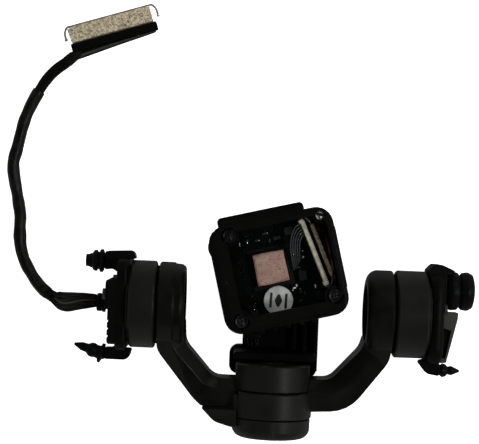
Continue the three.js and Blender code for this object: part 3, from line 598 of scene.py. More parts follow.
CABLE_STOPS = [
    (-35.8, 0.3, 0), (-38, 0.1, -0.7), (-40, -0.2, -2.5), (-42, -0.5, -5.2),
    (-44, -0.4, -8.2), (-46, 0.2, -10.5), (-47.9, 1.4, -11.5), (-49.6, 3.2, -11.75),
    (-50.9, 5.1, -11.75), (-52.2, 7.4, -11.75), (-53, 9.9, -11.75), (-53.3, 11.9, -11.75),
    (-53.4, 14.4, -11.75), (-53.4, 16.5, -11.75), (-53.8, 18.8, -11.75), (-54.3, 21.3, -11.75),
    (-54.8, 23.7, -11.75), (-55.2, 26.2, -11.75), (-55.2, 28.1, -11.75), (-54.7, 30.3, -11.75),
    (-54.2, 32.8, -11.75), (-53.4, 36.2, -11.75), (-52.3, 39.1, -11.75), (-50.9, 42, -11.75),
    (-49.2, 44.9, -11.75), (-47.3, 47.1, -11.75), (-45, 48.9, -11.7),
]
STRAND_R = 0.225
STRANDS = 19
# The strands that get the olive painted sheen.
OLIVE_SHEEN_RANKS = (4, 9, 14)
TAPE_FROM, TAPE_TO = 0.235, 0.88
cable_path = smooth_path(CABLE_STOPS, 0.4)
cable_frames = frames_along(cable_path)


def looseness(share):
    """How loose the strands are: 1 by the gland and at the far end, 0 under the tape."""
    away = TAPE_FROM - share if share < 0.5 else share - TAPE_TO
    rise = min(max(away / 0.07, 0), 1)
    return rise * rise * (3 - 2 * rise)


def strand_path(place, spread, turns, phase):
    """One strand: round the bundle's middle under the tape, side by side with the others by the gland."""
    start, out = place
    line = []
    for i, (centre, across, up) in enumerate(cable_frames):
        share = i / (len(cable_frames) - 1)
        loose = looseness(share)
        angle = start + 2 * math.pi * turns * share
        reach = out * (1 + 0.1 * loose)
        aside, high = math.cos(angle) * reach, math.sin(angle) * reach * 0.96
        if share < 0.5:
            sway = 0.22 * math.sin(26 * share + phase) * loose
            flat = loose * min(0.4 + share / 0.05, 1)
            aside += (spread[0] + sway - aside) * flat
            high += (spread[1] + 0.5 * sway - high) * flat
        spot = centre + across * aside + up * high
        spot.z = max(spot.z, REST_Z + STRAND_R + 0.02)
        line.append(spot)
    return line


def cable_strands():
    chance = random.Random(4)
    places = [(2 * math.pi * k / count + out, out) for count, out in ((1, 0), (6, 0.44), (12, 0.87))
              for k in range(count)]
    order = sorted(range(len(places)), key=lambda k: math.cos(places[k][0]) * places[k][1])
    dark, olive = [], []
    for rank, k in enumerate(order):
        spread = (1.65 * (2 * (rank + 0.5) / len(order) - 1), 0.42 * (rank % 3 - 1))
        line = strand_path(places[k], spread, 1.7 if k < 7 else 1.25, chance.uniform(0, 6))
        (olive if rank in OLIVE_SHEEN_RANKS else dark).append(sweep(line, STRAND_R, 8))
    return dark, olive


def tape_radius(share, angle):
    """Ridges where the strands press through, with kinks along the way."""
    ridge = 0.035 * math.cos(9 * angle + 22 * share) + 0.025 * math.sin(5 * angle - 15 * share)
    kink = 0.035 * math.sin(47 * share) + 0.025 * math.sin(83 * share + 1) + 0.03 * math.sin(19 * share + 2)
    ends = 0.03 if share < 0.01 or share > 0.99 else 0
    return 1.25 + ridge + kink - ends


def tape_sleeve():
    count = len(cable_path) - 1
    part = cable_path[round(count * TAPE_FROM):round(count * TAPE_TO) + 1]
    path = [Vector((p.x, p.y, max(p.z, REST_Z + 1.24))) for p in part]
    return sweep(path, tape_radius, 28)


def flat_core():
    """A flat dark filler between the strands, where they lie side by side by the gland."""
    count = len(cable_path) - 1
    part = cable_path[2:round(count * (TAPE_FROM + 0.03))]

    def reach(share, angle):
        wide = min(0.85 + 2.6 * share, 1.4)
        return wide * 0.32 / math.hypot(0.32 * math.cos(angle), wide * math.sin(angle))

    return sweep(part, reach, 24)


def throat():
    """Tape round the place where the bundle opens into the flat fan."""
    outline = rounded([(-11.5, -3.9, 0.4), (-9.7, -3.1, 0.6), (-7.6, -3.1, 0.3), (-7.4, -4.5, 0.4),
                       (-9.0, -5.15, 1),
                       (-10.5, -5.95, 0.4)])
    return plate(outline, 0.4, 2.0, 0.3)


def fan_strands():
    """The strands leave the bundle's end and run flat into the back of the connector, one after another."""
    chance = random.Random(9)
    shells = []
    for k in range(STRANDS):
        share = k / (STRANDS - 1)
        reach = -8.7 + 17.4 * share
        spin = 2.4 * k
        out = 0.95 * math.sqrt((k + 0.5) / STRANDS)
        start = Vector((-10.95, -4.85, 1.25)) + Vector((-0.35, 0.94, 0)) * (out * math.cos(spin))
        start.z += out * math.sin(spin) * 0.95
        low = -3.3 - 1.35 * share
        height = 1.3 + 0.22 * (k % 3 - 1) + chance.uniform(-0.06, 0.06)
        stops = [start - Vector((0.7, 0.3, 0)), start]
        if reach > -8:
            stops += [start.lerp(Vector((-8.6, low - 0.15, height)), 0.4), (-8.3, low - 0.1, height)]
        if reach > -5:
            stops.append((reach * 0.5 - 4.2, low * 0.5 - 1.78, height))
        stops += [(reach - 0.8, -3.58, height), (reach - 0.1, -3.3, 1.2)]
        shells.append(wire(stops, 0.19, 6))
    return shells


dark_strands, olive_sheen_strands = cable_strands()
cable = show("cable_strands", dark_strands, "left_mount", JACKET, "cable", crease=60)
# Three strands with the olive painted sheen.
olive = show("cable_olive_sheen_strands", olive_sheen_strands, "left_mount", JACKET_OLIVE_SHEEN, crease=60)
sleeve = show("cable_tape_sleeve", [tape_sleeve()], "left_mount", TAPE, crease=70)
core = show("cable_core", [flat_core()], "left_mount", JACKET, crease=60)
neck = show("cable_fan_tape", [throat()], "left_mount", TAPE, place=CONNECTOR)
fan = show("cable_fan", fan_strands(), "left_mount", JACKET, "cable_fanout", CONNECTOR, crease=60)


def film_strip():
    outline = [(-8.9, -4.75), (-6, -4.5), (-1, -4.15), (4, -3.85), (8.8, -3.6), (8.8, -3.5), (2, -3.55),
               (-4, -3.85),
               (-8.6, -4.15)]
    return plate(outline, 1.74, 1.82, 0.02)


film = show("cable_film", [film_strip()], "left_mount", FILM, place=CONNECTOR)


def connector_body():
    shell = plate(rectangle((-9.1, 9.3), (-3.3, -1.6), 0.25), 0.3, 2.3, 0.15)
    slots = [block((x - 0.07, x + 0.07), (-3.5, -3.05), (0.8, 1.9), 0) for x in range(-8, 9)]
    return combined(shell, cuts=[together(slots)])


def foil_shell():
    """The folded shield: a box with a ragged upper edge and a lip along the lower one."""
    chance = random.Random(21)
    top = []
    count = 40
    for k in range(count + 1):
        ragged = chance.uniform(-0.07, 0.06)
        top.append((8.7 - 17.7 * k / count, 1.84 + ragged - 0.35 * max(0.0, k / count - 0.93) / 0.07))
    outline = [(-8.75, -1.35), (8.72, -1.35), *top]
    body = plate(outline, 0.2, 2.45, 0.1)
    lip = plate(rectangle((-8.7, 8.65), (-1.45, -1.05), 0.1), 2.3, 2.6, 0.1)
    seam = plate(rectangle((-7.9, 8.1), (0.75, 1.1), 0.15), 2.36, 2.56, 0.08)
    tabs = [block((x, x + 0.9), (-1.58, -1.2), (0.5, 1.5), 0.1) for x in (-7.5, -2.4, 2.7, 6.9)]
    return [body, lip, seam, *tabs]


body = show("connector_housing", [connector_body()], "left_mount", PLASTIC, "connector_body", CONNECTOR)
shield = show("connector_foil", foil_shell(), "left_mount", FOIL, "connector_shell", CONNECTOR)


def lock_bar():
    """The bright wire bar hooks round both ends of the connector."""
    reach = 9.6
    stops = [
        (-reach - 0.2, -0.4, 1.4),
        (-reach - 0.1, 1, 1.4),
        (-reach + 0.6, 2.0, 1.4),
        (-reach + 1.8, 2.05, 1.4),
        (0, 2.05, 1.4),
        (reach - 1.6, 2.05, 1.4),
        (reach - 0.4, 2.0, 1.4),
        (reach + 0.3, 1, 1.4),
        (reach + 0.4, -0.4, 1.4),
    ]
    tips = [lathe(oval(0.36, 0.36, 8), "z", stops[i], 16) for i in (0, -1)]
    return [wire(stops, 0.22, 12, 0.25), *tips]


bar = show("connector_bar", lock_bar(), "lock_bar", STEEL, "connector_lock_bar", CONNECTOR, crease=60)
gland_profile = [(1.42, -35.6), (1.75, -35.6, 0.1), (1.85, -34.9, 0.1), (1.7, -34.7, 0.1),
                 (1.92, -34.4, 0.1),
                 (2.0, -33.9, 0.05), (1.42, -33.9)]
show("cable_strain_relief", [lathe(rounded(gland_profile), "x")], "left_mount", RUBBER, "cable_gland")

# ---- Machine screws, with a socket in the head. ----


def screw(radius, height, shank, length, lobes=6, depth=0.45, at=(0, 0, 0), facing=(0, 0, 1)):
    """A screw whose head stands on its own height 0. Six lobes make a hex socket, four a cross."""
    steps = 48
    points, faces = [], []

    def ring_of(size, along):
        base = len(points)
        for step in range(steps):
            angle = 2 * math.pi * step / steps
            r = size(angle) if callable(size) else size
            points.append((r * math.cos(angle), r * math.sin(angle), along))
        return list(range(base, base + steps))

    def hexagon(angle):
        return radius * 0.5 / math.cos((angle % (math.pi / 3)) - math.pi / 6)

    def cross(angle):
        return radius * (0.14 + 0.5 * abs(math.cos(2 * angle)) ** 6)

    socket = hexagon if lobes == 6 else cross
    rounding = min(height * 0.45, radius * 0.3)
    levels = [(shank * 0.6, -length), (shank, -length + 0.3), (shank, 0), (radius, 0),
              (radius, height - rounding)]
    levels += [(radius - rounding * (1 - math.sin(a)), height - rounding * (1 - math.sin(a) ** 2) * 0.6)
               for a in reversed(quarter(4))][1:]
    levels += [(lambda a: socket(a) * 1.06, height), (socket, height - 0.05), (socket, height - depth)]
    rings = [ring_of(size, along) for size, along in levels]
    for low, high in zip(rings, rings[1:]):
        for step in range(steps):
            after = (step + 1) % steps
            faces.append([low[step], low[after], high[after], high[step]])
    faces.append(rings[0][::-1])
    faces.append(rings[-1])
    turn = Vector((0, 0, 1)).rotation_difference(Vector(facing)).to_matrix().to_4x4()
    return moved((points, faces), Matrix.Translation(at) @ turn)


# ---- Left mount ----

CAN_R = span("left_pitch_can", 2)[1]
CAN = (span("right_pitch_can", 0)[0], span("right_pitch_can", 0)[1])
BRACKET = {"from": 29.7, "to": 31.4, "block": 33.6, "low_block": 33, "top": 10.1, "bottom": -10.4,
           "front": 6.6}
SHAFT_R = 2
LOWER_DAMPER_TILT = -0.3
LEFT_BOLTS = [(1.9, 4), (-4.7, -4)]
RIGHT_BOLTS = [(1.4, 4), (-5.2, -4)]
CAP_BOLTS_X = (-4.4, 4.4)
BEARING_SEAT = 24.9
PITCH_STATOR = (-28, -25)
YAW_STATOR = (-16, -12.6)
ROLL_STATOR = (-8.6, -4.6)


def left_bracket():
    near, wall_to = BRACKET["from"], BRACKET["to"]
    block_to, low_to = BRACKET["block"], BRACKET["low_block"]
    top, bottom, front = BRACKET["top"], BRACKET["bottom"], BRACKET["front"]
    wall = plate(rectangle((bottom + 1.4, top - 1.2), (REST_Z, front), 2.2), -wall_to, -near + 0.4, 0.5,
                 "x")
    foot = block((-block_to, -near - 0.1), (-7.9, 5.1), (REST_Z, REST_Z + 1.6), 0.3)
    core = plate(rectangle((-7.9, 5.1), (-7.5, front - 0.4), 1.2), -low_to, -wall_to + 0.5, 0.45, "x")
    boss = plate(rectangle((-1.1, 4.7), (-5.8, 5.6), 1), -block_to, -low_to + 0.4, 0.3, "x")
    ribs = [block((-low_to + 0.4, -near - 0.3), (y, y + 1.1), (REST_Z + 0.5, -5), 0.15)
            for y in (-7.3, 3.5)]
    upper = rounded([
        (-near, 4.6), (-near, 8.9, 0.3), (-28.1, 8.95, 0.2), (-28.4, top + 0.5, 1.15),
        (-34.2, top + 0.2, 0.5),
        (-34.2, 6.6, 0.4), (-32.6, 6.8, 0.8), (-wall_to, 6.1, 0.4), (-wall_to, 4.6),
    ])
    lower = rounded([
        (-near, -6), (-near, -8.9, 0.3), (-28.3, -9.0, 0.3), (-28.8, bottom - 0.8, 1.4),
        (-33.7, bottom - 0.8, 0.5),
        (-33.7, -8.9, 0.4), (-32.2, -8.9, 0.7), (-wall_to + 0.1, -8.1, 0.3), (-wall_to + 0.1, -6),
    ])
    arms = [plate(upper, -2.3, 2.3, 0.25), plate(lower, -1.8, 1.8, 0.25)]
    bore = rod("x", 1.7, -block_to - 1, -near + 1)
    holes = [rod("x", 0.75, -block_to - 1, -near + 1, at=(0, y, z), steps=24) for y, z in LEFT_BOLTS]
    grooves = [block((-low_to - 1, -low_to + 0.25), (-6.6 + 1.5 * k, -6.1 + 1.5 * k), (-3, 7), 0)
               for k in range(3)]
    return combined(wall, [foot, core, boss, *ribs, *arms], [bore, *holes, *grooves])


show("left_bracket_casting", [softened(left_bracket(), 0.2, 3)], "left_mount", CAST, "left_bracket")

UPPER_LEFT_RIBS = [
    (1.2, -0.4), (1.2, -0.05, 0.1), (1.9, 0, 0.1), (2.3, 0.2, 0.15), (2.3, 0.75, 0.15),
    (1.75, 0.95, 0.08), (1.75, 1.2, 0.08), (2.15, 1.4, 0.15),
    (2.05, 2.0, 0.2), (1.45, 2.4, 0.1), (1.45, 2.7, 0.1), (1.28, 2.9, 0.1), (1.22, 3.6, 0.12),
    (0.85, 3.6, 0.1),
    (0.7, 2.4), (0, 2.4),
]
LOWER_LEFT_RIBS = [
    (0.9, -0.5), (1.2, 0, 0.1), (2, 0.25, 0.12), (2, 0.75, 0.15), (1.35, 1.0, 0.1), (1.3, 1.6, 0.1),
    (1.47, 2.2, 0.15),
    (1.4, 2.8, 0.15), (0.9, 3.5, 0.2), (0.85, 4.6, 0.3), (0.5, 5.5, 0.2), (0.22, 6.2, 0.1), (0, 6.2),
]
UPPER_RIGHT_LOBES = [
    (2.2, -0.3), (2.6, 0, 0.1), (3.5, 0.1, 0.3), (3.9, 1, 0.8), (3.72, 2.3, 0.5), (2.9, 2.6, 0.12),
    (3.7, 2.9, 0.5),
    (3.9, 4.2, 0.9), (3.4, 5.2, 0.5), (2.4, 5.5, 0.3), (1.3, 5.45, 0.2), (1.1, 4.3), (0, 4.3),
]
LOWER_RIGHT_RIBS = [
    (0.9, -0.3), (1.1, 0, 0.1), (1.4, 0.3, 0.1), (1.25, 1.0, 0.1), (0.8, 1.4, 0.15), (0.95, 2.2, 0.25),
    (0.22, 3.8, 0.1), (0, 3.8),
]


def turned_on_side(profile, side, closed=True):
    """A profile of (radius, distance from the middle, edge radius), turned about X on one side."""
    return lathe([(radius, side * along) for radius, along in rounded(profile, closed)], "x")


def damper(profile, base, way, at):
    points = [(radius, base + way * along) for radius,
              along in rounded([(0, profile[0][1]), *profile], False)]
    return lathe(points, "x", at, 64)


show("left_damper_upper", [damper(UPPER_LEFT_RIBS, -34.5, -1, (0, 8.3, 0))], "left_mount", RUBBER,
     "damper_upper_left")
tilted = placed(damper(LOWER_LEFT_RIBS, 0, -1, (0, 0, 0)), (-33.9, -10.3, 0), LOWER_DAMPER_TILT)
show("left_damper_lower", [tilted], "left_mount", RUBBER, "damper_lower_left")
show("right_damper_upper", [damper(UPPER_RIGHT_LOBES, 33.95, 1, (0, 5, 0))], "right_mount", RUBBER,
     "damper_upper_right")
show("right_damper_lower", [damper(LOWER_RIGHT_RIBS, 33.45, 1, (0, -10.9, 0))], "right_mount", RUBBER,
     "damper_lower_right")


def pitch_can(side):
    """A cup with a narrow neck towards its bracket, and the tube that holds the bearings."""
    near, far = CAN[0] + 0.1, CAN[1] + (0.55 if side > 0 else -0.55)
    neck = far + 0.5 if side > 0 else CAN[1]
    seat = SHAFT_R + 0.9
    profile = [
        (seat, neck), (CAN_R - 1.1, neck, 0.1), (CAN_R - 1.1, far - 0.1), (CAN_R - 0.3, far, 0.1),
        (CAN_R, far - 0.35, 0.15), (CAN_R, near + 0.3, 0.12), (CAN_R - 0.3, near, 0.1), (CAN_R - 0.8, near),
        (CAN_R - 0.8, far - 0.8, 0.3), (seat + 0.6, far - 0.8, 0.2), (seat + 0.6, BEARING_SEAT),
        (seat, BEARING_SEAT),
    ]
    return turned_on_side(profile, side)


def bearing(axis, inner, outer, low, high, at=(0, 0, 0)):
    """Two races, a ring of balls between them and a shield at each end."""
    width = outer - inner
    middle = (inner + outer) / 2
    shells = [
        ring(axis, inner, inner + width * 0.28, low, high, 0.05, at, 64),
        ring(axis, outer - width * 0.28, outer, low, high, 0.05, at, 64),
        ring(axis, inner + width * 0.3, outer - width * 0.3, low + 0.12, low + 0.2, 0.02, at, 64),
        ring(axis, inner + width * 0.3, outer - width * 0.3, high - 0.2, high - 0.12, 0.02, at, 64),
    ]
    count = max(7, round(2 * math.pi * middle / (width * 0.55)))
    size = width * 0.19
    for k in range(count):
        angle = 2 * math.pi * k / count
        centre = (middle * math.cos(angle), middle * math.sin(angle), (low + high) / 2)
        shells.append(lathe(oval(size, size, 6), "z", about_axis([centre], axis, at)[0], 12))
    return shells


def show_bearing(node, body, axis, shaft, at=(0, 0, 0)):
    races = bearing(axis, shaft + 0.1, shaft + 0.8, *span(node, "xyz".index(axis)), at)
    show(node + "_races", races, body, STEEL, node)


def stator(axis, inner, outer, low, high, at=(0, 0, 0), teeth=9):
    """The iron core with its T-shaped teeth, and the windings on them as a list of shells of their own."""
    iron = [ring("z", inner, inner + 0.9, low, high, 0.05, steps=64)]
    coils = []
    half = math.pi / teeth * 0.7 * outer
    for k in range(teeth):
        turn = 2 * math.pi * k / teeth
        stem = block((inner + 0.7, outer - 0.8), (-0.32, 0.32), (low + 0.4, high - 0.4), 0.05)
        tip = block((outer - 0.95, outer - 0.55), (-half, half), (low + 0.1, high - 0.1), 0.08)
        iron += [placed(stem, (0, 0, 0), turn), placed(tip, (0, 0, 0), turn)]
        turns = max(4, round((outer - inner - 2.0) / 0.16))
        for n in range(turns):
            r = inner + 1.0 + (outer - inner - 2.05) * n / max(turns - 1, 1)
            wide, tall = 0.48, (high - low) / 2 - 0.22
            loop = rectangle((-wide, wide), (-tall, tall), 0.25)
            path = [Vector((r, y, z + (low + high) / 2)) for y, z in loop]
            coils.append(placed(sweep([*path, path[0]], 0.08, 6), (0, 0, 0), turn))
    shells = [(about_axis(points, axis, at), faces) for points, faces in iron + coils]
    return shells[:len(iron)], shells[len(iron):]


def show_motor(name, body, axis, inner, outer, low, high, node, at=(0, 0, 0)):
    iron, coils = stator(axis, inner, outer, low, high, at)
    show(name + "_core", iron, body, IRON, node)
    show(name + "_windings", coils, body, COPPER, crease=60)


def magnets(axis, inner, outer, low, high, at=(0, 0, 0), poles=12):
    """A ring of arched magnets with thin gaps between them."""
    shells = []
    for k in range(poles):
        start, end = 2 * math.pi * (k + 0.04) / poles, 2 * math.pi * (k + 0.96) / poles
        angles = [start + (end - start) * i / 6 for i in range(7)]
        arch = [(outer * math.cos(a), outer * math.sin(a)) for a in angles]
        arch += [(inner * math.cos(a), inner * math.sin(a)) for a in reversed(angles)]
        points, faces = plate(arch, low, high, 0.06)
        shells.append((about_axis(points, axis, at), faces))
    return shells


show("left_pitch_motor_can", [pitch_can(-1)], "left_mount", ANODISED_X, "left_pitch_can")
show("right_pitch_motor_can", [pitch_can(1)], "right_mount", ANODISED_X, "right_pitch_can")
show_motor("pitch_motor", "left_mount", "x", SHAFT_R + 1.6, 6, *PITCH_STATOR, "pitch_stator")
for node in ("pitch_bearing_outer", "pitch_bearing_inner"):
    show_bearing(node, "left_mount", "x", SHAFT_R)
show_bearing("idler_bearing", "right_mount", "x", SHAFT_R)
for k, (x, (y, z)) in enumerate(zip((-33.62, -33.02), LEFT_BOLTS), 1):
    show(f"left_bracket_bolt_{k}", [screw(1.1, 0.6, 0.6, 3.4, at=(x, y, z), facing=(-1, 0, 0))],
         "left_mount", BLACK_STEEL, f"left_bracket_screw_{k}")
inner_run = [(-35.4, 0, 0), (-30, 0, 0), (-25, 0, 0), (-21, 0, 0)]
inner_strands = [wire([(x, 0.7 * math.cos(a + 0.1 * x), 0.7 * math.sin(a + 0.1 * x)) for x, _,
                       _ in inner_run], 0.3, 8)
                 for a in (2 * math.pi * k / 7 for k in range(7))]
inner_strands.append(wire(inner_run, 0.38, 10))
show("cable_in_shaft", inner_strands, "left_mount", JACKET, "cable_inner_run", crease=60)

# ---- Yoke ----

HUB = (18, 23.2)
HUB_R = 8.6
LEFT_COVER_R = 6.8
RIGHT_COVER_R = 5.4
ARM_HALF_DEPTH = 6.3
ARM_FRONT = {"y": -6, "z": 5.4, "slope": math.radians(16.2)}
YAW_HUB = {"r": 8, "from": -21.3, "to": -16.3}
YAW_CAP = {"r": 7.8, "from": -25.6, "to": -21.5}
YAW_SHAFT_R = 1.3
ON_ARM_FRONT = (Matrix.Translation((0, ARM_FRONT["y"], ARM_FRONT["z"]))
                @ Matrix.Rotation(ARM_FRONT["slope"], 4, "X"))


def hub(side):
    near, far = HUB
    bore = SHAFT_R + 0.1
    if side < 0:
        recess = LEFT_COVER_R + 0.2
        outside = [(recess, near, 0.05), (7.75, near, 0.5), (8.25, near + 0.7, 0.35),
                   (8.36, near + 1.95, 0.1),
                   (HUB_R, near + 2.3, 0.12)]
    else:
        recess = RIGHT_COVER_R + 0.2
        arc = [(6.4 + 2.2 * math.sin(a), near + 2.2 * (1 - math.cos(a))) for a in quarter(10)]
        outside = [(recess, near, 0.05), *arc]
    profile = [(bore, near + 1.3), (recess, near + 1.3), *outside, (HUB_R, far - 0.3, 0.1),
               (HUB_R - 0.25, far, 0.1),
               (bore, far)]
    return turned_on_side(profile, side)


def arm_outlines():
    right = [
        (5, -13.7), (11.6, -13.6, 3.3), (17.4, -7.2, 3.4), (18, -5.2), (19.6, -3), (23.2, -1),
        (22.95, -9.1, 5.5),
        (15.3, -19.75, 7.5), (5, -20.3),
    ]
    left = [
        (-5, -14.1), (-11.7, -14.05, 3.3), (-17.6, -7.4, 3.4), (-18, -1), (-23.2, -1), (-23.2, -8.6, 3.8),
        (-15.8, -18.1, 8), (-14.1, -19.7), (-5, -19.6),
    ]
    return rounded(right), rounded(left)


def inner_opening():
    """The space inside the U: it widens towards the front, so that the arms' inner edges slope."""
    corners = [(18, 9), (17.7, -7, 2), (12.2, -13.2, 2), (10.6, -13.8)]
    mirrored = [(-corner[0], *corner[1:]) for corner in reversed(corners)]
    stretched = [(c[0], (c[1] - ARM_FRONT["y"]) / math.cos(ARM_FRONT["slope"]), *c[2:])
                 for c in corners + mirrored]
    outline = rounded(stretched)
    depth, widening, above = 2.6, 2.5, 3.0
    wide = offset(outline, -widening * (depth + above) / depth)
    count = len(outline)
    points = [(x, y, -depth) for x, y in outline] + [(x, y, above) for x, y in wide]
    faces = [[i, (i + 1) % count, count + (i + 1) % count, count + i] for i in range(count)]
    faces += [list(range(count))[::-1], list(range(count, 2 * count))]
    return moved((points, faces), ON_ARM_FRONT)


def yaw_hub():
    r, low, high = YAW_HUB["r"], YAW_HUB["from"], YAW_HUB["to"]
    bore, tube = YAW_SHAFT_R + 0.9, YAW_SHAFT_R + 1.5
    profile = [
        (bore, low), (r, low, 0.12), (r, high - 0.1, 0.25), (r - 1, high), (r - 1, low + 1, 0.2),
        (tube, low + 1, 0.1),
        (tube, -12.4), (bore, -12.4),
    ]
    return lathe(rounded(profile), "y")


def yoke():
    right, left = (plate(outline, -ARM_HALF_DEPTH, ARM_HALF_DEPTH) for outline in arm_outlines())
    in_front = moved(block((-30, 30), (-30, 14), (0, 12), 0), ON_ARM_FRONT)
    sloped = softened(combined(right, [left], [in_front, inner_opening()]), 0.5, 4, 25)
    near, far = HUB
    space = rod("y", YAW_HUB["r"] - 0.5, YAW_HUB["from"] - 3, YAW_HUB["to"] + 4, steps=TURN_STEPS)
    bore = rod("x", SHAFT_R + 0.1, -far - 1, far + 1)
    recesses = [rod("x", r + 0.2, *sorted((side * 10, side * (near + 1.3))), steps=TURN_STEPS)
                for side, r in ((-1, LEFT_COVER_R), (1, RIGHT_COVER_R))]
    arch = softened(combined(sloped, [hub(-1), hub(1)]), 0.7, 4, 32)
    arch = combined(arch, cuts=[space, bore, *recesses])
    holes = [rod("y", 0.65, YAW_HUB["from"] - 1, YAW_HUB["from"] + 2, at=(x, 0, 0), steps=24)
             for x in CAP_BOLTS_X]
    notch = block((-7.6, -6.7), (YAW_HUB["to"] - 0.7, YAW_HUB["to"] + 1), (1.5, 6), 0)
    return arch, combined(yaw_hub(), cuts=[*holes, notch])


arch, yaw_ring = yoke()
show("yoke_casting", [arch], "yoke", YOKE_METAL, "yoke_frame", crease=28)
show("yoke_yaw_ring", [yaw_ring], "yoke", ANODISED_Y)


def hub_cover(side, radius):
    near = HUB[0]
    profile = [(0, near + 0.2), (radius * 0.35, near + 0.2, 0.2), (radius * 0.4, near + 0.05, 0.1),
               (radius - 0.4, near + 0.05, 0.2), (radius + 0.12, near + 0.35, 0.1),
               (radius + 0.12, near + 1.1),
               (0, near + 1.1)]
    return turned_on_side(profile, side, False)


# Black rings in the gaps between the hubs and the pitch cans: painted shade, dark fillers where the gaps
# show only shadow.
gap_shade_rings = [ring("x", 4, 7.8, *sorted((side * (HUB[1] - 0.1), side * (HUB[1] + 1.1))), 0.05)
           for side in (-1, 1)]
show("hub_gap_shade_rings", gap_shade_rings, "yoke", PLASTIC)
show("left_hub_disc", [hub_cover(-1, LEFT_COVER_R)], "yoke", PLASTIC, "left_hub_cover")
show("right_hub_disc", [hub_cover(1, RIGHT_COVER_R)], "yoke", PLASTIC, "right_hub_cover")


def cable_cover():
    corners = [(-13.8, -19.9), (-5, -19.9), (-5, -23.4), (-8.1, -23.35, 3), (-11.3, -22.4, 2.5)]
    yaw_side = rod("y", YAW_HUB["r"] + 0.3, -27, -18, steps=TURN_STEPS)
    return softened(combined(plate(rounded(corners), -4.6, 4.6, 0.5), cuts=[yaw_side]), 0.15, 3)


show("left_arm_lower_cover", [cable_cover()], "yoke", YOKE_METAL, "left_arm_cable_cover")


def yaw_cap():
    r, low, high = YAW_CAP["r"], YAW_CAP["from"], YAW_CAP["to"]
    profile = [
        (0, low), (r - 0.9, low + 0.15, 1.6), (r - 0.05, low + 1.5, 1.2), (r, high - 0.12, 0.15),
        (r - 0.9, high),
        (r - 0.9, low + 2.2, 0.8), (r - 2.2, low + 1, 0.4), (0, low + 1),
    ]
    shell = lathe(rounded(profile, False), "y")
    posts = [rod("y", 1.5, low + 0.6, high, at=(x, 0, 0), steps=32) for x in CAP_BOLTS_X]
    cuts = [rod("y", 0.65, low - 1, high + 1, at=(x, 0, 0), steps=24) for x in CAP_BOLTS_X]
    cuts += [rod("y", 1.15, low - 1, low + 0.8, at=(x, 0, 0), steps=32) for x in CAP_BOLTS_X]
    cuts.append(block((0.1, 0.2), (low + 0.6, high + 0.2), (r - 0.5, r + 1), 0))
    return combined(shell, posts, cuts)


show("yaw_motor_cap", [yaw_cap()], "yoke", ANODISED_Y, "yaw_cap")
for k, x in enumerate(CAP_BOLTS_X, 1):
    show(f"yaw_cap_bolt_{k}",
         [screw(0.95, 0.5, 0.5, 4, 4, 0.35, (x, YAW_CAP["from"] + 0.75, 0), (0, -1, 0))], "yoke",
         BLACK_STEEL, f"yaw_cap_screw_{k}")
show("pitch_motor_magnets", magnets("x", 6.3, 7.5, PITCH_STATOR[0], -HUB[1] - 1.2, poles=14), "yoke", MAGNET,
     "pitch_magnet_ring")
show("pitch_hollow_shaft", [ring("x", 1.45, SHAFT_R, *span("pitch_shaft", 0), 0.12)], "yoke", STEEL,
     "pitch_shaft")
show("idler_solid_shaft", [rod("x", SHAFT_R, *span("idler_shaft", 0), 0.3)], "yoke", STEEL, "idler_shaft")
show_motor("yaw_motor", "yoke", "y", YAW_SHAFT_R + 1.6, 5.3, *YAW_STATOR, "yaw_stator")
for node in ("yaw_bearing_upper", "yaw_bearing_lower"):
    show_bearing(node, "yoke", "y", YAW_SHAFT_R)

# ---- Right mount ----

RIGHT = {"near": 29.7, "to": 33.2, "seat": 33.7, "damper_y": 5}


def right_bracket():
    near, to, seat, damper_y = RIGHT.values()
    wall = plate(rectangle((-9.6, 8.6), (REST_Z, BRACKET["front"] - 0.6), 3.6), near + 0.6, to, 1.2, "x")
    hollow = plate(rectangle((-7, 6.6), (REST_Z + 2, -5.6), 1.4), near + 1.6, to + 1, 0, "x")
    hook = rounded([(near + 0.3, 3), (near + 0.3, 8.3), (near + 0.2, 9.0, 0.3), (31.1, 10.3, 0.8),
                    (32.8, 10.2, 0.8),
                    (35.3, 9.1, 0.35), (35.2, 8.3, 0.3), (seat + 0.1, 8.2, 0.3), (seat + 0.1, 2.4, 0.4),
                    (to - 0.6, 2.4)])
    boss = rod("x", 2.6, to - 1, seat, 0.15, at=(0, damper_y, 0))
    tail = rounded([(near + 0.7, -8), (near + 0.2, -8.9, 0.3), (28.7, -9.2, 0.4), (30.6, -11.6, 1.2),
                    (to, -12, 0.5),
                    (to, -9.8, 0.4), (to - 0.8, -8)])
    holes = [rod("x", 0.75, near - 1, to + 1, at=(0, y, z), steps=24) for y, z in RIGHT_BOLTS]
    return combined(wall, [plate(hook, -3.4, 3.4, 0.3), boss, plate(tail, -1.8, 1.8, 0.25)],
                    [hollow, *holes])


def right_web():
    to = RIGHT["to"]
    corners = [(to - 0.1, 0.9), (36.5, 0.75, 0.2), (36.4, -0.6, 0.5), (34.4, -9.3, 0.3), (to - 0.1, -9.4)]
    window = rounded([(33.5, -2.4, 0.2), (35.2, -2.8, 0.3), (34.2, -8.4, 0.07), (33.5, -8.4, 0.07)])
    web = softened(combined(plate(rounded(corners), -1.35, 1.35), cuts=[plate(window, -3, 3)]), 0.12, 2)
    return web, plate(window, -1.2, 0.5)


show("right_bracket_casting", [softened(right_bracket(), 0.25, 3)], "right_mount", CAST, "right_bracket")
web, web_floor = right_web()
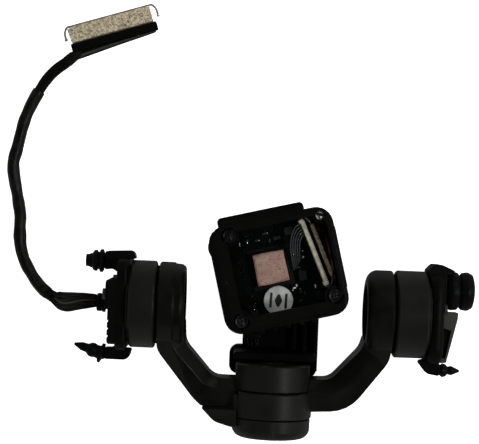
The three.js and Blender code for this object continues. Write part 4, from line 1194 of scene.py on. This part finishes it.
# The web carries the painted shadow grey.
show("right_bracket_web", [web], "right_mount", WEB_SHADOW_GREY)
show("right_bracket_web_floor", [web_floor], "right_mount", CAST)
for k, (y, z) in enumerate(RIGHT_BOLTS, 1):
    bolt = screw(1.1, 0.6, 0.6, 3.4, at=(RIGHT["to"] + 0.02, y, z), facing=(1, 0, 0))
    show(f"right_bracket_bolt_{k}", [bolt], "right_mount", BLACK_STEEL, f"right_bracket_screw_{k}")

# ---- Pan arm, with the yaw unit's rotor and the roll unit's seat ----

ROLL_SEAT = {"r": 8.5, "from": REST_Z, "to": -8}
ROLL_SHAFT_R = 1.3
ROLL_AT = (0, ROLL_Y, 0)


def pan_arm():
    r, low, high = ROLL_SEAT.values()
    floor_low = low + 0.9
    bore = ROLL_SHAFT_R + 0.9
    column = plate(rectangle((-6.2, 9.2), (-14.2, 12), 1.2), REST_Z, -9.4, 0.4)
    joins = [
        plate(rectangle((-8.8, 9.2), (-14.2, -8.2), 1.9), REST_Z, -9.4, 0.4),
        plate(rectangle((-8, 8.6), (-10.4, -8.8), 0.7), -10, 0.6, 0.3),
        rod("z", r, low, high, 0.3, ROLL_AT, TURN_STEPS),
        block((8.4, 9.2), (-12.8, 1), (-9.6, -6.6), 0.15),
        *[block((x, x + 0.8), (-8.9, 0.8), (-9.6, -7.6), 0.12) for x in (3.9, 6.1)],
        *[block((-5.6, -5.0), (-8.4, -0.4), (-9.6, -8.2), 0.12)],
        rod("z", 1.1, -9.6, -8.5, 0.15, (7.5, 2.6, 0), 32),
    ]
    shell = combined(column, joins, [
        rod("z", r - 0.9, floor_low + 0.9, high + 1, at=ROLL_AT, steps=TURN_STEPS),
        rod("z", 6.8, low - 1, floor_low, at=ROLL_AT, steps=TURN_STEPS),
        rod("z", 0.5, -9.2, -8, at=(7.5, 2.6, 0), steps=24),
    ])
    tube = ring("z", bore, bore + 0.6, floor_low + 0.2, -4.25, 0.1, ROLL_AT, 64)
    hole = rod("z", bore, floor_low - 1, floor_low + 2, at=ROLL_AT, steps=64)
    return combined(shell, [tube], [hole])


show("pan_arm_casting", [pan_arm()], "pan_arm", CAST, "pan_arm")


def rotor_can(axis, radius, shut, opened, bore, at=(0, 0, 0)):
    """A motor can seen from its shut end, with a shallow boss round the shaft."""
    way = 1 if opened > shut else -1
    profile = [
        (bore, shut), (bore + 1.1, shut, 0.1), (bore + 1.3, shut + way * 0.18, 0.1),
        (radius - 0.36, shut + way * 0.18, 0.1),
        (radius, shut + way * 0.5, 0.25), (radius, opened, 0.1), (radius - 0.8, opened),
        (radius - 0.8, shut + way * 0.8, 0.3),
        (bore + 0.9, shut + way * 0.8, 0.1), (bore + 0.9, shut + way * 1.4), (bore, shut + way * 1.4),
    ]
    return lathe(rounded(profile), axis, at)


yaw_low, yaw_high = span("yaw_rotor_can", 1)
show("yaw_motor_can", [rotor_can("y", 7.4, yaw_high, yaw_low, 1.4)], "pan_arm", ANODISED_Y, "yaw_rotor_can")
show("yaw_motor_magnets", magnets("y", 5.5, 6.5, -15.8, -11.6), "pan_arm", MAGNET, "yaw_magnet_ring")
show("yaw_solid_shaft", [rod("y", YAW_SHAFT_R, *span("yaw_shaft", 1), 0.2)], "pan_arm", STEEL, "yaw_shaft")
show_motor("roll_motor", "pan_arm", "z", ROLL_SHAFT_R + 1.6, 5.8, *ROLL_STATOR, "roll_stator", ROLL_AT)
for node in ("roll_bearing_rear", "roll_bearing_front"):
    show_bearing(node, "pan_arm", "z", ROLL_SHAFT_R, ROLL_AT)


def roll_cover():
    low, high = span("roll_back_cover", 2)
    profile = [(0, high), (6.5, high, 0.1), (6.5, low + 0.05, 0.15), (5.6, low, 0.1),
               (5.45, low + 0.15, 0.05),
               (1.6, low + 0.15, 0.05), (1.5, low, 0.05), (0, low)]
    slots = [rod("z", 0.45, low - 1, low + 0.3, at=(4.1 * math.cos(a), ROLL_Y + 4.1 * math.sin(a), 0),
                 steps=24)
             for a in (math.pi / 2 + 2 * math.pi * k / 3 for k in range(3))]
    return combined(lathe(rounded(profile, False), "z", ROLL_AT), cuts=slots)


show("roll_rear_cover", [roll_cover()], "pan_arm", PLASTIC, "roll_back_cover")


def harness():
    """A flat lead of seven fine wires from the yaw unit up to the roll unit."""
    shells = []
    for k in range(7):
        aside = (k - 3) * 0.4
        high = -8.3 + (0.22 if k % 2 else -0.18)
        stops = [(-4.2 + aside, -8.2, high), (-4.4 + aside, -6.4, high), (-3.4 + aside, -4, high + 0.1),
                 (-1.6 + 0.8 * aside, -2, high), (-0.6 + 0.7 * aside, 0, high)]
        shells.append(wire(stops, 0.21, 8))
    clamp = plate(rectangle((-5.9, -2.6), (-6.6, -5.6), 0.2), -9.0, -7.62, 0.15)
    return shells + [clamp]


show("pan_arm_wires", harness(), "pan_arm", JACKET, "pan_arm_harness", crease=50)

# ---- Camera: the open housing ----

BOX_X = (-12.45, 12.15)
BOX_Y = (-12.1, 9.3)
MOUTH_X = (-8.9, 10.8)
MOUTH_Y = (-9.1, 7.6)
BACK, FRONT = -2.3, 9.7
WALL, FLOOR, CORNER = 1.4, 1.1, 3.4
BOARD_TOP = 1.2
SOCKET_FOOT = BOARD_TOP + 0.1
BOSSES = [((-8.2, 7.1), 2), ((9.8, 7.5), 1.5), ((9.6, -8.4), 2), ((-9.2, -9.6), 2)]
BRIGHT_SCREW = 1


def inset(limits, by):
    return limits[0] + by, limits[1] - by


def camera_housing():
    outer = plate(rectangle(BOX_X, BOX_Y, CORNER), BACK, FRONT, 0.8)
    ear = rod("z", 2.9, BACK + 1.4, FRONT - 0.5, 0.5, (-9.85, 5.2, 0), 64)
    lip = plate(rectangle((-10, 7.1), (BOX_Y[1] - 0.8, BOX_Y[1] + 1.55), 0.9), 2, FRONT - 0.6, 0.35)
    fins = [block((x, x + 0.8), (BOX_Y[0] - 0.9, BOX_Y[0] + 0.6), (BACK + 1, 5), 0.2)
            for x in (-6, -3.4, -0.8, 1.8, 4.4)]
    side_bead = plate(rectangle((BOX_X[1] - 0.4, BOX_X[1] + 0.18), (-7.2, 4.8), 0.15), 1.5, 8.2, 0.12)
    cavity = plate(rectangle(inset(BOX_X, WALL), inset(BOX_Y, WALL), CORNER - WALL), BACK + FLOOR,
                   FRONT - 1.4)
    mouth = plate(rectangle(MOUTH_X, MOUTH_Y, 2.6), FRONT - 2, FRONT + 1)
    bosses, holes = [], []
    for (x, y), r in BOSSES:
        heights = (BACK + 0.5, FRONT - 0.95)
        beside_x = (BOX_X[0] + 1.0, x) if x < 0 else (x, BOX_X[1] - 1.0)
        beside_y = (BOX_Y[0] + 1.0, y) if y < 0 else (y, BOX_Y[1] - 1.0)
        bosses += [rod("z", r, *heights, at=(x, y, 0)), block(beside_x, beside_y, heights, 0)]
        holes += [rod("z", 0.75, 2, FRONT + 1, at=(x, y, 0), steps=32)]
        holes += [rod("z", r - 0.4, FRONT - 0.98, FRONT + 1, at=(x, y, 0))]
    shaft = rod("z", ROLL_SHAFT_R + 0.1, BACK - 1, BACK + FLOOR + 1)
    notch = rod("z", 0.75, 1, FRONT + 1, at=(-10.75, 9.1, 0), steps=24)
    shell = combined(outer, [ear, lip, *fins, side_bead], [cavity, mouth, notch])
    return combined(shell, bosses, [*holes, shaft])


show("camera_case", [softened(camera_housing(), 0.1, 2, 40)], "camera", CAST, "camera_housing", HOUSING)


def gasket():
    """A thin raised bead round the mouth, where the front cover seats, and a lump of glue beside it."""
    outer = rectangle(inset(MOUTH_X, -0.75), inset(MOUTH_Y, -0.75), 3.2)
    bead = combined(plate(outer, FRONT - 0.3, FRONT - 0.02, 0.1),
                    cuts=[plate(rectangle(inset(MOUTH_X, -0.35), inset(MOUTH_Y, -0.35), 2.9), FRONT - 1,
                                FRONT + 1)])
    return [bead, placed(lathe(oval(0.62, 0.25, 10), steps=24), (-10.9, -1.6, FRONT - 0.1))]


show("camera_rim_bead", gasket(), "camera", RUBBER, place=HOUSING)
for k, ((x, y), r) in enumerate(BOSSES):
    bright = k == BRIGHT_SCREW
    size = 0.9 if bright else 1.25
    bolt = screw(size, 0.7, 0.6, 5, 4, 0.4, (x, y, FRONT - 0.95))
    show(f"camera_bolt_{k + 1}", [bolt], "camera", STEEL if bright else BLACK_STEEL,
         f"camera_screw_{k + 1}", HOUSING)


def main_board():
    edge = WALL + 0.3
    board = plate(rectangle(inset(BOX_X, edge), inset(BOX_Y, edge), 1.6), 0.4, BOARD_TOP, 0.05)
    cuts = [rod("z", r + 0.3, 0, 2, at=(x, y, 0)) for (x, y), r in BOSSES]
    cuts.append(rod("z", ROLL_SHAFT_R + 0.5, 0, 2))
    return combined(board, cuts=cuts)


show("camera_board", [main_board()], "camera", BOARD, "main_board", HOUSING)
show("processor_package",
     [plate(rectangle((-5, 2.1), (-4.2, 2.7), 0.15), BOARD_TOP + 0.02, 2.2, 0.1),
      plate(rectangle((-5.6, 2.7), (-4.8, 3.3), 0.2), BOARD_TOP + 0.01, 1.5, 0.05)],
     "camera", CHIP, "image_processor", HOUSING)


def pad():
    """A soft square with uneven edges and a face that is pressed in here and there."""
    size_x, size_y, steps = (-4.6, 1.65), (-3.9, 2.3), 40
    low, high = 2.22, 3.5
    chance = random.Random(3)
    waves = [(chance.uniform(0.5, 1.6), chance.uniform(0.5, 1.6), chance.uniform(0, 6)) for _ in range(8)]

    def height(x, y, u, v):
        wave = sum(math.sin(a * x + b * y + c) for a, b, c in waves) / len(waves)
        rim = min(u, v, 1 - u, 1 - v)
        return high - 0.12 + 0.22 * wave - 0.3 * max(0.0, 0.06 - rim) / 0.06

    def spot(i, j):
        u, v = i / steps, j / steps
        x = size_x[0] + (size_x[1] - size_x[0]) * u
        y = size_y[0] + (size_y[1] - size_y[0]) * v
        bow = 0.05 * math.sin(0.9 * y + 1) * (1 - 2 * u)
        rise = 0.06 * math.sin(0.7 * x) * (1 - 2 * v)
        return x + bow, y + rise, height(x, y, u, v)

    points = [spot(i, j) for j in range(steps + 1) for i in range(steps + 1)]
    count = len(points)
    points += [(x, y, low) for x, y, _ in points]
    faces = []
    row = steps + 1
    for j in range(steps):
        for i in range(steps):
            a = j * row + i
            faces.append([a, a + 1, a + row + 1, a + row])
            faces.append([count + a, count + a + row, count + a + row + 1, count + a + 1])
    border = list(range(row)) + [j * row + steps for j in range(1, row)]
    border += [steps * row + i for i in range(steps - 1, -1, -1)] + [j * row
                                                                     for j in range(steps - 1, 0, -1)]
    for a, b in zip(border, border[1:] + border[:1]):
        faces.append([a, b, count + b, count + a])
    return points, faces


cushion = show("gap_filler_pad", [pad()], "camera", PAD, "thermal_pad", HOUSING, crease=50)

LABEL_AT = (-1.3, -7.5, 0)
LABEL_R = 2.9


def label_disc():
    profile = [(0, 1.6), (LABEL_R, 1.6), (LABEL_R, 1.86, 0.04), (LABEL_R - 0.1, 1.9, 0.03), (0, 1.9)]
    return lathe(rounded(profile, False), "z", LABEL_AT)


def label_mark():
    """A plain mark of no meaning: a pinched spot between two short bars."""
    leaf = [(0.8 * math.sin(a), 1.3 * math.cos(a) ** 3) for a in (2 * math.pi * k / 40 for k in range(40))]
    bars = [rectangle((x, x + 0.5), (-1.5, 1.5), 0.12) for x in (-1.75, 1.25)]
    shells = [plate(outline, 1.9, 1.915) for outline in (leaf[::-1], *bars)]
    return [placed(shell, LABEL_AT, math.radians(-16)) for shell in shells]


show("round_sticker", [label_disc()], "camera", LABEL, "round_label", HOUSING)
show("sticker_mark", label_mark(), "camera", LABEL_INK, place=HOUSING)


def film_frame():
    """A thin black film on the board, with a round edge left of the pad."""
    centre, radius = Vector((-0.6, -0.6)), 7.6
    left = -10.3
    arc = [centre + Matrix.Rotation(math.radians(a), 2) @ Vector((radius, 0)) for a in range(118, 243, 5)]
    outline = [(left, 6.1), *[tuple(p) for p in arc], (left, -7.3)]
    return plate(outline, BOARD_TOP + 0.02, BOARD_TOP + 0.95, 0.12)


show("board_film", [film_frame()], "camera", PLASTIC, place=HOUSING)


def board_parts():
    """Small parts on the board, clear of the pad, the label and the socket: bodies and their solder ends."""
    chance = random.Random(12)
    bodies, ends = [], []
    taken = [(-5.9, 3.0, -5.1, 3.6), (-4.6, 2.0, -10.8, -4.4), (5.4, 10.8, -9.0, 8.2)]
    for _ in range(150):
        x, y = chance.uniform(-6.5, 9.6), chance.uniform(-9.6, 7.0)
        long, wide, tall = chance.choice([(0.9, 0.45, 0.4), (1.3, 0.7, 0.55), (1.7, 1.5, 0.8),
                                          (0.6, 0.3, 0.3)])
        if chance.random() < 0.5:
            long, wide = wide, long
        room = (x - long / 2 - 0.15, x + long / 2 + 0.15, y - wide / 2 - 0.15, y + wide / 2 + 0.15)
        if any(room[0] < b and room[1] > a and room[2] < d and room[3] > c for a, b, c, d in taken):
            continue
        taken.append(room)
        half_x, half_y = long / 2, wide / 2
        bodies.append(block((x - half_x, x + half_x), (y - half_y, y + half_y),
                            (BOARD_TOP + 0.02, BOARD_TOP + tall), 0.04))
        along_x = long > wide
        for side in (-1, 1):
            spot = (x + side * half_x, y) if along_x else (x, y + side * half_y)
            ends.append(lathe(oval(0.16, 0.14, 6), "z", (*spot, BOARD_TOP + 0.08), 12))
    return bodies, ends


def lump(at, size, seed):
    """A drop of solder with an uneven surface."""
    chance = random.Random(seed)
    phases = [chance.uniform(0, 6) for _ in range(3)]
    points, faces = lathe(oval(1, 1, 10), steps=20)
    shaped = []
    for x, y, z in points:
        swell = 1 + 0.12 * math.sin(3 * x + phases[0])
        swell += 0.12 * math.sin(4 * y + phases[1]) * math.cos(3 * z + phases[2])
        shaped.append((at[0] + size[0] * x * swell, at[1] + size[1] * y * swell,
                       at[2] + size[2] * z * swell))
    return shaped, faces


small_bodies, small_ends = board_parts()
# Solder drops set where bright glints show; their pale finish paints the glints.
SOLDER_GLINT_DROPS = [
    ((2.3, -5.7, 1.8), (0.3, 0.22, 0.5)), ((2.8, -5.3, 1.7), (0.18, 0.3, 0.4)),
    ((1.9, -6.1, 1.7), (0.16, 0.16, 0.4)),
    ((5.4, 1.2, 1.9), (0.2, 0.16, 0.5)), ((4.7, 0.4, 1.7), (0.12, 0.12, 0.3)),
    ((6.5, -6.2, 1.9), (0.16, 0.42, 0.6)),
    ((5.3, 0.0, 1.7), (0.14, 0.2, 0.3)), ((4.2, -2.7, 1.8), (0.2, 0.14, 0.4)),
    ((-6.6, 5.0, 2.4), (0.14, 0.34, 0.4)),
]
show("board_small_parts", small_bodies, "camera", CERAMIC, place=HOUSING)
show("board_solder_ends", small_ends, "camera", SOLDER, place=HOUSING, crease=60)
# The drops carry the painted glint finish.
show("board_solder_glint_drops", [lump(at, size, k) for k, (at, size) in enumerate(SOLDER_GLINT_DROPS)], "camera",
     PAINTED_GLINT, place=HOUSING, crease=70)
show("board_inductors",
     [plate(rectangle((x - 0.8, x + 0.8), (y - 1.0, y + 1.0), 0.3), BOARD_TOP + 0.02, top, 0.15) for x,
      y, top in ((4.4, -3.6, 2.5), (6.9, -8.1, 2.6))],
     "camera", CHIP, place=HOUSING)
show("board_post", [ring("z", 0.55, 1.0, BOARD_TOP + 0.02, 7.6, 0.12, (9.85, 5.15, 0), 48)], "camera", CAST,
     place=HOUSING)

# ---- The coax socket on the board, its contacts and its leads ----


def coax_socket():
    strip = plate(rectangle((-0.42, 0.42), (-6.7, 6.7), 0.12), SOCKET_FOOT, 5.9, 0.08)
    lugs = [plate(rectangle((-0.65, 0.3), (y, y + 0.7), 0.15), SOCKET_FOOT, 6.0, 0.08) for y in (-6.9, 6.2)]
    steps = [block((0.2, 0.6), (-6.2 + 0.4 * k, -6.0 + 0.4 * k), (5.4, 6.1), 0) for k in range(31)]
    return combined(strip, lugs, [together(steps)])


def contact_row():
    """The earth bar, a run of fine gold tails, and a bright hook at each end."""
    rail = plate(rectangle((1.2, 1.95), (-5.7, 5.4), 0.1), SOCKET_FOOT, 5.25, 0.1)
    tails = [block((1.15, 1.9), (y, y + 0.2), (5.05, 5.42), 0.04)
             for y in (-5.5 + 0.4 * k for k in range(27))]
    return rail, tails


def socket_hooks():
    ends = []
    for way in (-1, 1):
        ends.append(wire([(1.4, way * 5.6, 5.2), (1.3, way * 6.2, 5.5), (0.9, way * 6.9, 5.6),
                          (0.2, way * 7.2, 5.4),
                          (-0.4, way * 7.15, 5.0)], 0.16, 10, 0.15))
    return ends


show("coax_receptacle", [coax_socket()], "camera", CREAM, "coax_socket", SOCKET)
rail, tails = contact_row()
show("coax_contacts", [rail], "camera", GOLD, "coax_contact_bar", SOCKET)
# The tails take the foil finish for its painted highlights, bright speckles on the gold.
show("coax_contact_tails", tails, "camera", FOIL, place=SOCKET)
show("coax_hooks", socket_hooks(), "camera", STEEL, place=SOCKET, crease=60)


def coax_leads():
    """Five fine leads that leave the socket's upper end and curve down to the board."""
    shells = []
    for k in range(5):
        inner = k / 4
        stops = [(-0.7, 6.1 - 2.1 * inner, 5.3), (-1.7 + 0.4 * inner, 5.9 - 2.3 * inner, 5.6),
                 (-3.1 + 1.1 * inner, 4.4 - 1.6 * inner, 5.3), (-4.1 + 1.5 * inner, 2.2 - 0.9 * inner, 4.5),
                 (-4.6 + 1.6 * inner, 0.0 + 0.2 * inner, 3.3),
                 (-4.9 + 1.6 * inner, -1.9 + 1.1 * inner, 1.9)]
        shells.append(wire(stops, 0.12, 8, 0.25))
    return shells


show("coax_lead_wires", coax_leads(), "camera", LEAD, "coax_leads", SOCKET, crease=60)
wall_wires = [
    wire([(10.35, 3.6, 4.0), (10.4, 1.4, 6.2), (10.38, -0.8, 7.0), (10.38, -2.8, 7.0), (10.3, -5.4, 6.4),
          (9.9, -6.0, 4.0)], 0.17, 8),
    wire([(10.3, 2.6, 2.6), (10.35, 0.4, 4.6), (10.36, -2.0, 5.4), (10.3, -4.4, 5.0), (9.9, -5.9, 2.6)],
         0.15, 8),
]
show("camera_wall_wires", wall_wires, "camera", COPPER_WIRE, place=HOUSING, crease=60)
show("camera_wall_tape",
     [plate(rectangle((10.12, 10.58), (-1.5, -0.2), 0.1), 5.2, 7.4, 0.08),
      plate(rectangle((10.12, 10.58), (-4.6, -3.5), 0.1), 4.4, 7.2, 0.08)],
     "camera", TAPE, place=HOUSING)
show("roll_motor_can", [rotor_can("z", 8, -2.6, -7.7, 1.4)], "camera", ANODISED_Z, "roll_rotor_can",
     HOUSING)
show("roll_motor_magnets", magnets("z", 6, 7, -7.5, -3.6), "camera", MAGNET, "roll_magnet_ring", HOUSING)
show("roll_solid_shaft", [rod("z", ROLL_SHAFT_R, -11.6, -1.4, 0.2)], "camera", STEEL, "roll_shaft", HOUSING)

# ---- Floor, surroundings and lights ----


def pale_floor():
    size = 3.0
    mesh = bpy.data.meshes.new("floor")
    mesh.from_pydata([(-size, -size, 0), (size, -size, 0), (size, size, 0), (-size, size, 0)], [],
                     [(0, 1, 2, 3)])
    floor = bpy.data.objects.new("floor", mesh)
    floor.location.z = -0.0001
    floor.visible_glossy = False
    bpy.context.scene.collection.objects.link(floor)
    paper = Finish("floor_paper", (0.93, 0.93, 0.93), 0.85, specular=0.1)
    paper.set("Emission Color", (1, 1, 1, 1))
    paper.set("Emission Strength", 0.92)
    paper.bump((paper.noise(400, 2), 0.02, 0.0002))
    mesh.materials.append(paper.material)


def surroundings():
    """A room with pale walls, dark above and below, so that flat faces that look up stay dark."""
    world = bpy.data.worlds.new("studio")
    world.use_nodes = True
    bpy.context.scene.world = world
    tree = world.node_tree
    where = tree.nodes.new("ShaderNodeTexCoord")
    apart = tree.nodes.new("ShaderNodeSeparateXYZ")
    ramp = tree.nodes.new("ShaderNodeValToRGB")
    halved = tree.nodes.new("ShaderNodeMath")
    halved.operation = "MULTIPLY_ADD"
    halved.inputs[1].default_value = 0.5
    halved.inputs[2].default_value = 0.5
    levels = [(0.06, 0.12), (0.16, 0.4), (0.42, 0.5), (0.55, 0.3), (0.65, 0.17), (0.86, 0.03)]
    for position, level in levels[2:]:
        ramp.color_ramp.elements.new(position)
    for element, (position, level) in zip(ramp.color_ramp.elements, levels):
        element.position = position
        element.color = (level, level, level * 1.02, 1)
    tree.links.new(where.outputs["Generated"], apart.inputs[0])
    tree.links.new(apart.outputs["Z"], halved.inputs[0])
    tree.links.new(halved.outputs[0], ramp.inputs["Fac"])
    tree.links.new(ramp.outputs["Color"], tree.nodes["Background"].inputs["Color"])
    tree.nodes["Background"].inputs["Strength"].default_value = 1.0


def softbox(name, direction, distance, size, power, in_gloss):
    """An area light that looks at the middle of the gimbal. Some only fill, and show in no reflection."""
    light = bpy.data.lights.new(name, "AREA")
    light.energy = power
    light.size = size
    holder = bpy.data.objects.new(name, light)
    holder.visible_glossy = in_gloss
    away = Vector(direction).normalized()
    holder.location = PITCH_PLACE + away * distance
    holder.rotation_euler = (-away).to_track_quat("-Z", "Y").to_euler()
    bpy.context.scene.collection.objects.link(holder)


pale_floor()
surroundings()
LAMPS = [
    # name, direction, distance, size, power, shown in reflections
    ("key", (0.6, -0.03, 0.8), 0.75, 0.12, 2.2, True),
    ("far_lamp", (0.42, 0.7, 0.58), 0.75, 0.08, 0.45, True),
    ("right_glow", (0.9, 0.1, 0.4), 0.9, 0.4, 0.8, True),
    ("near_glow", (-0.1, -0.95, 0.35), 0.9, 0.5, 0.4, True),
    ("left_fill", (-0.8, 0.0, 0.8), 0.9, 0.8, 2.4, False),
    ("far_fill", (0.0, 0.8, 0.8), 0.9, 0.8, 2.2, False),
    ("near_fill", (0.1, -0.8, 0.8), 0.9, 0.8, 1.6, False),
]
for lamp in LAMPS:
    softbox(*lamp)
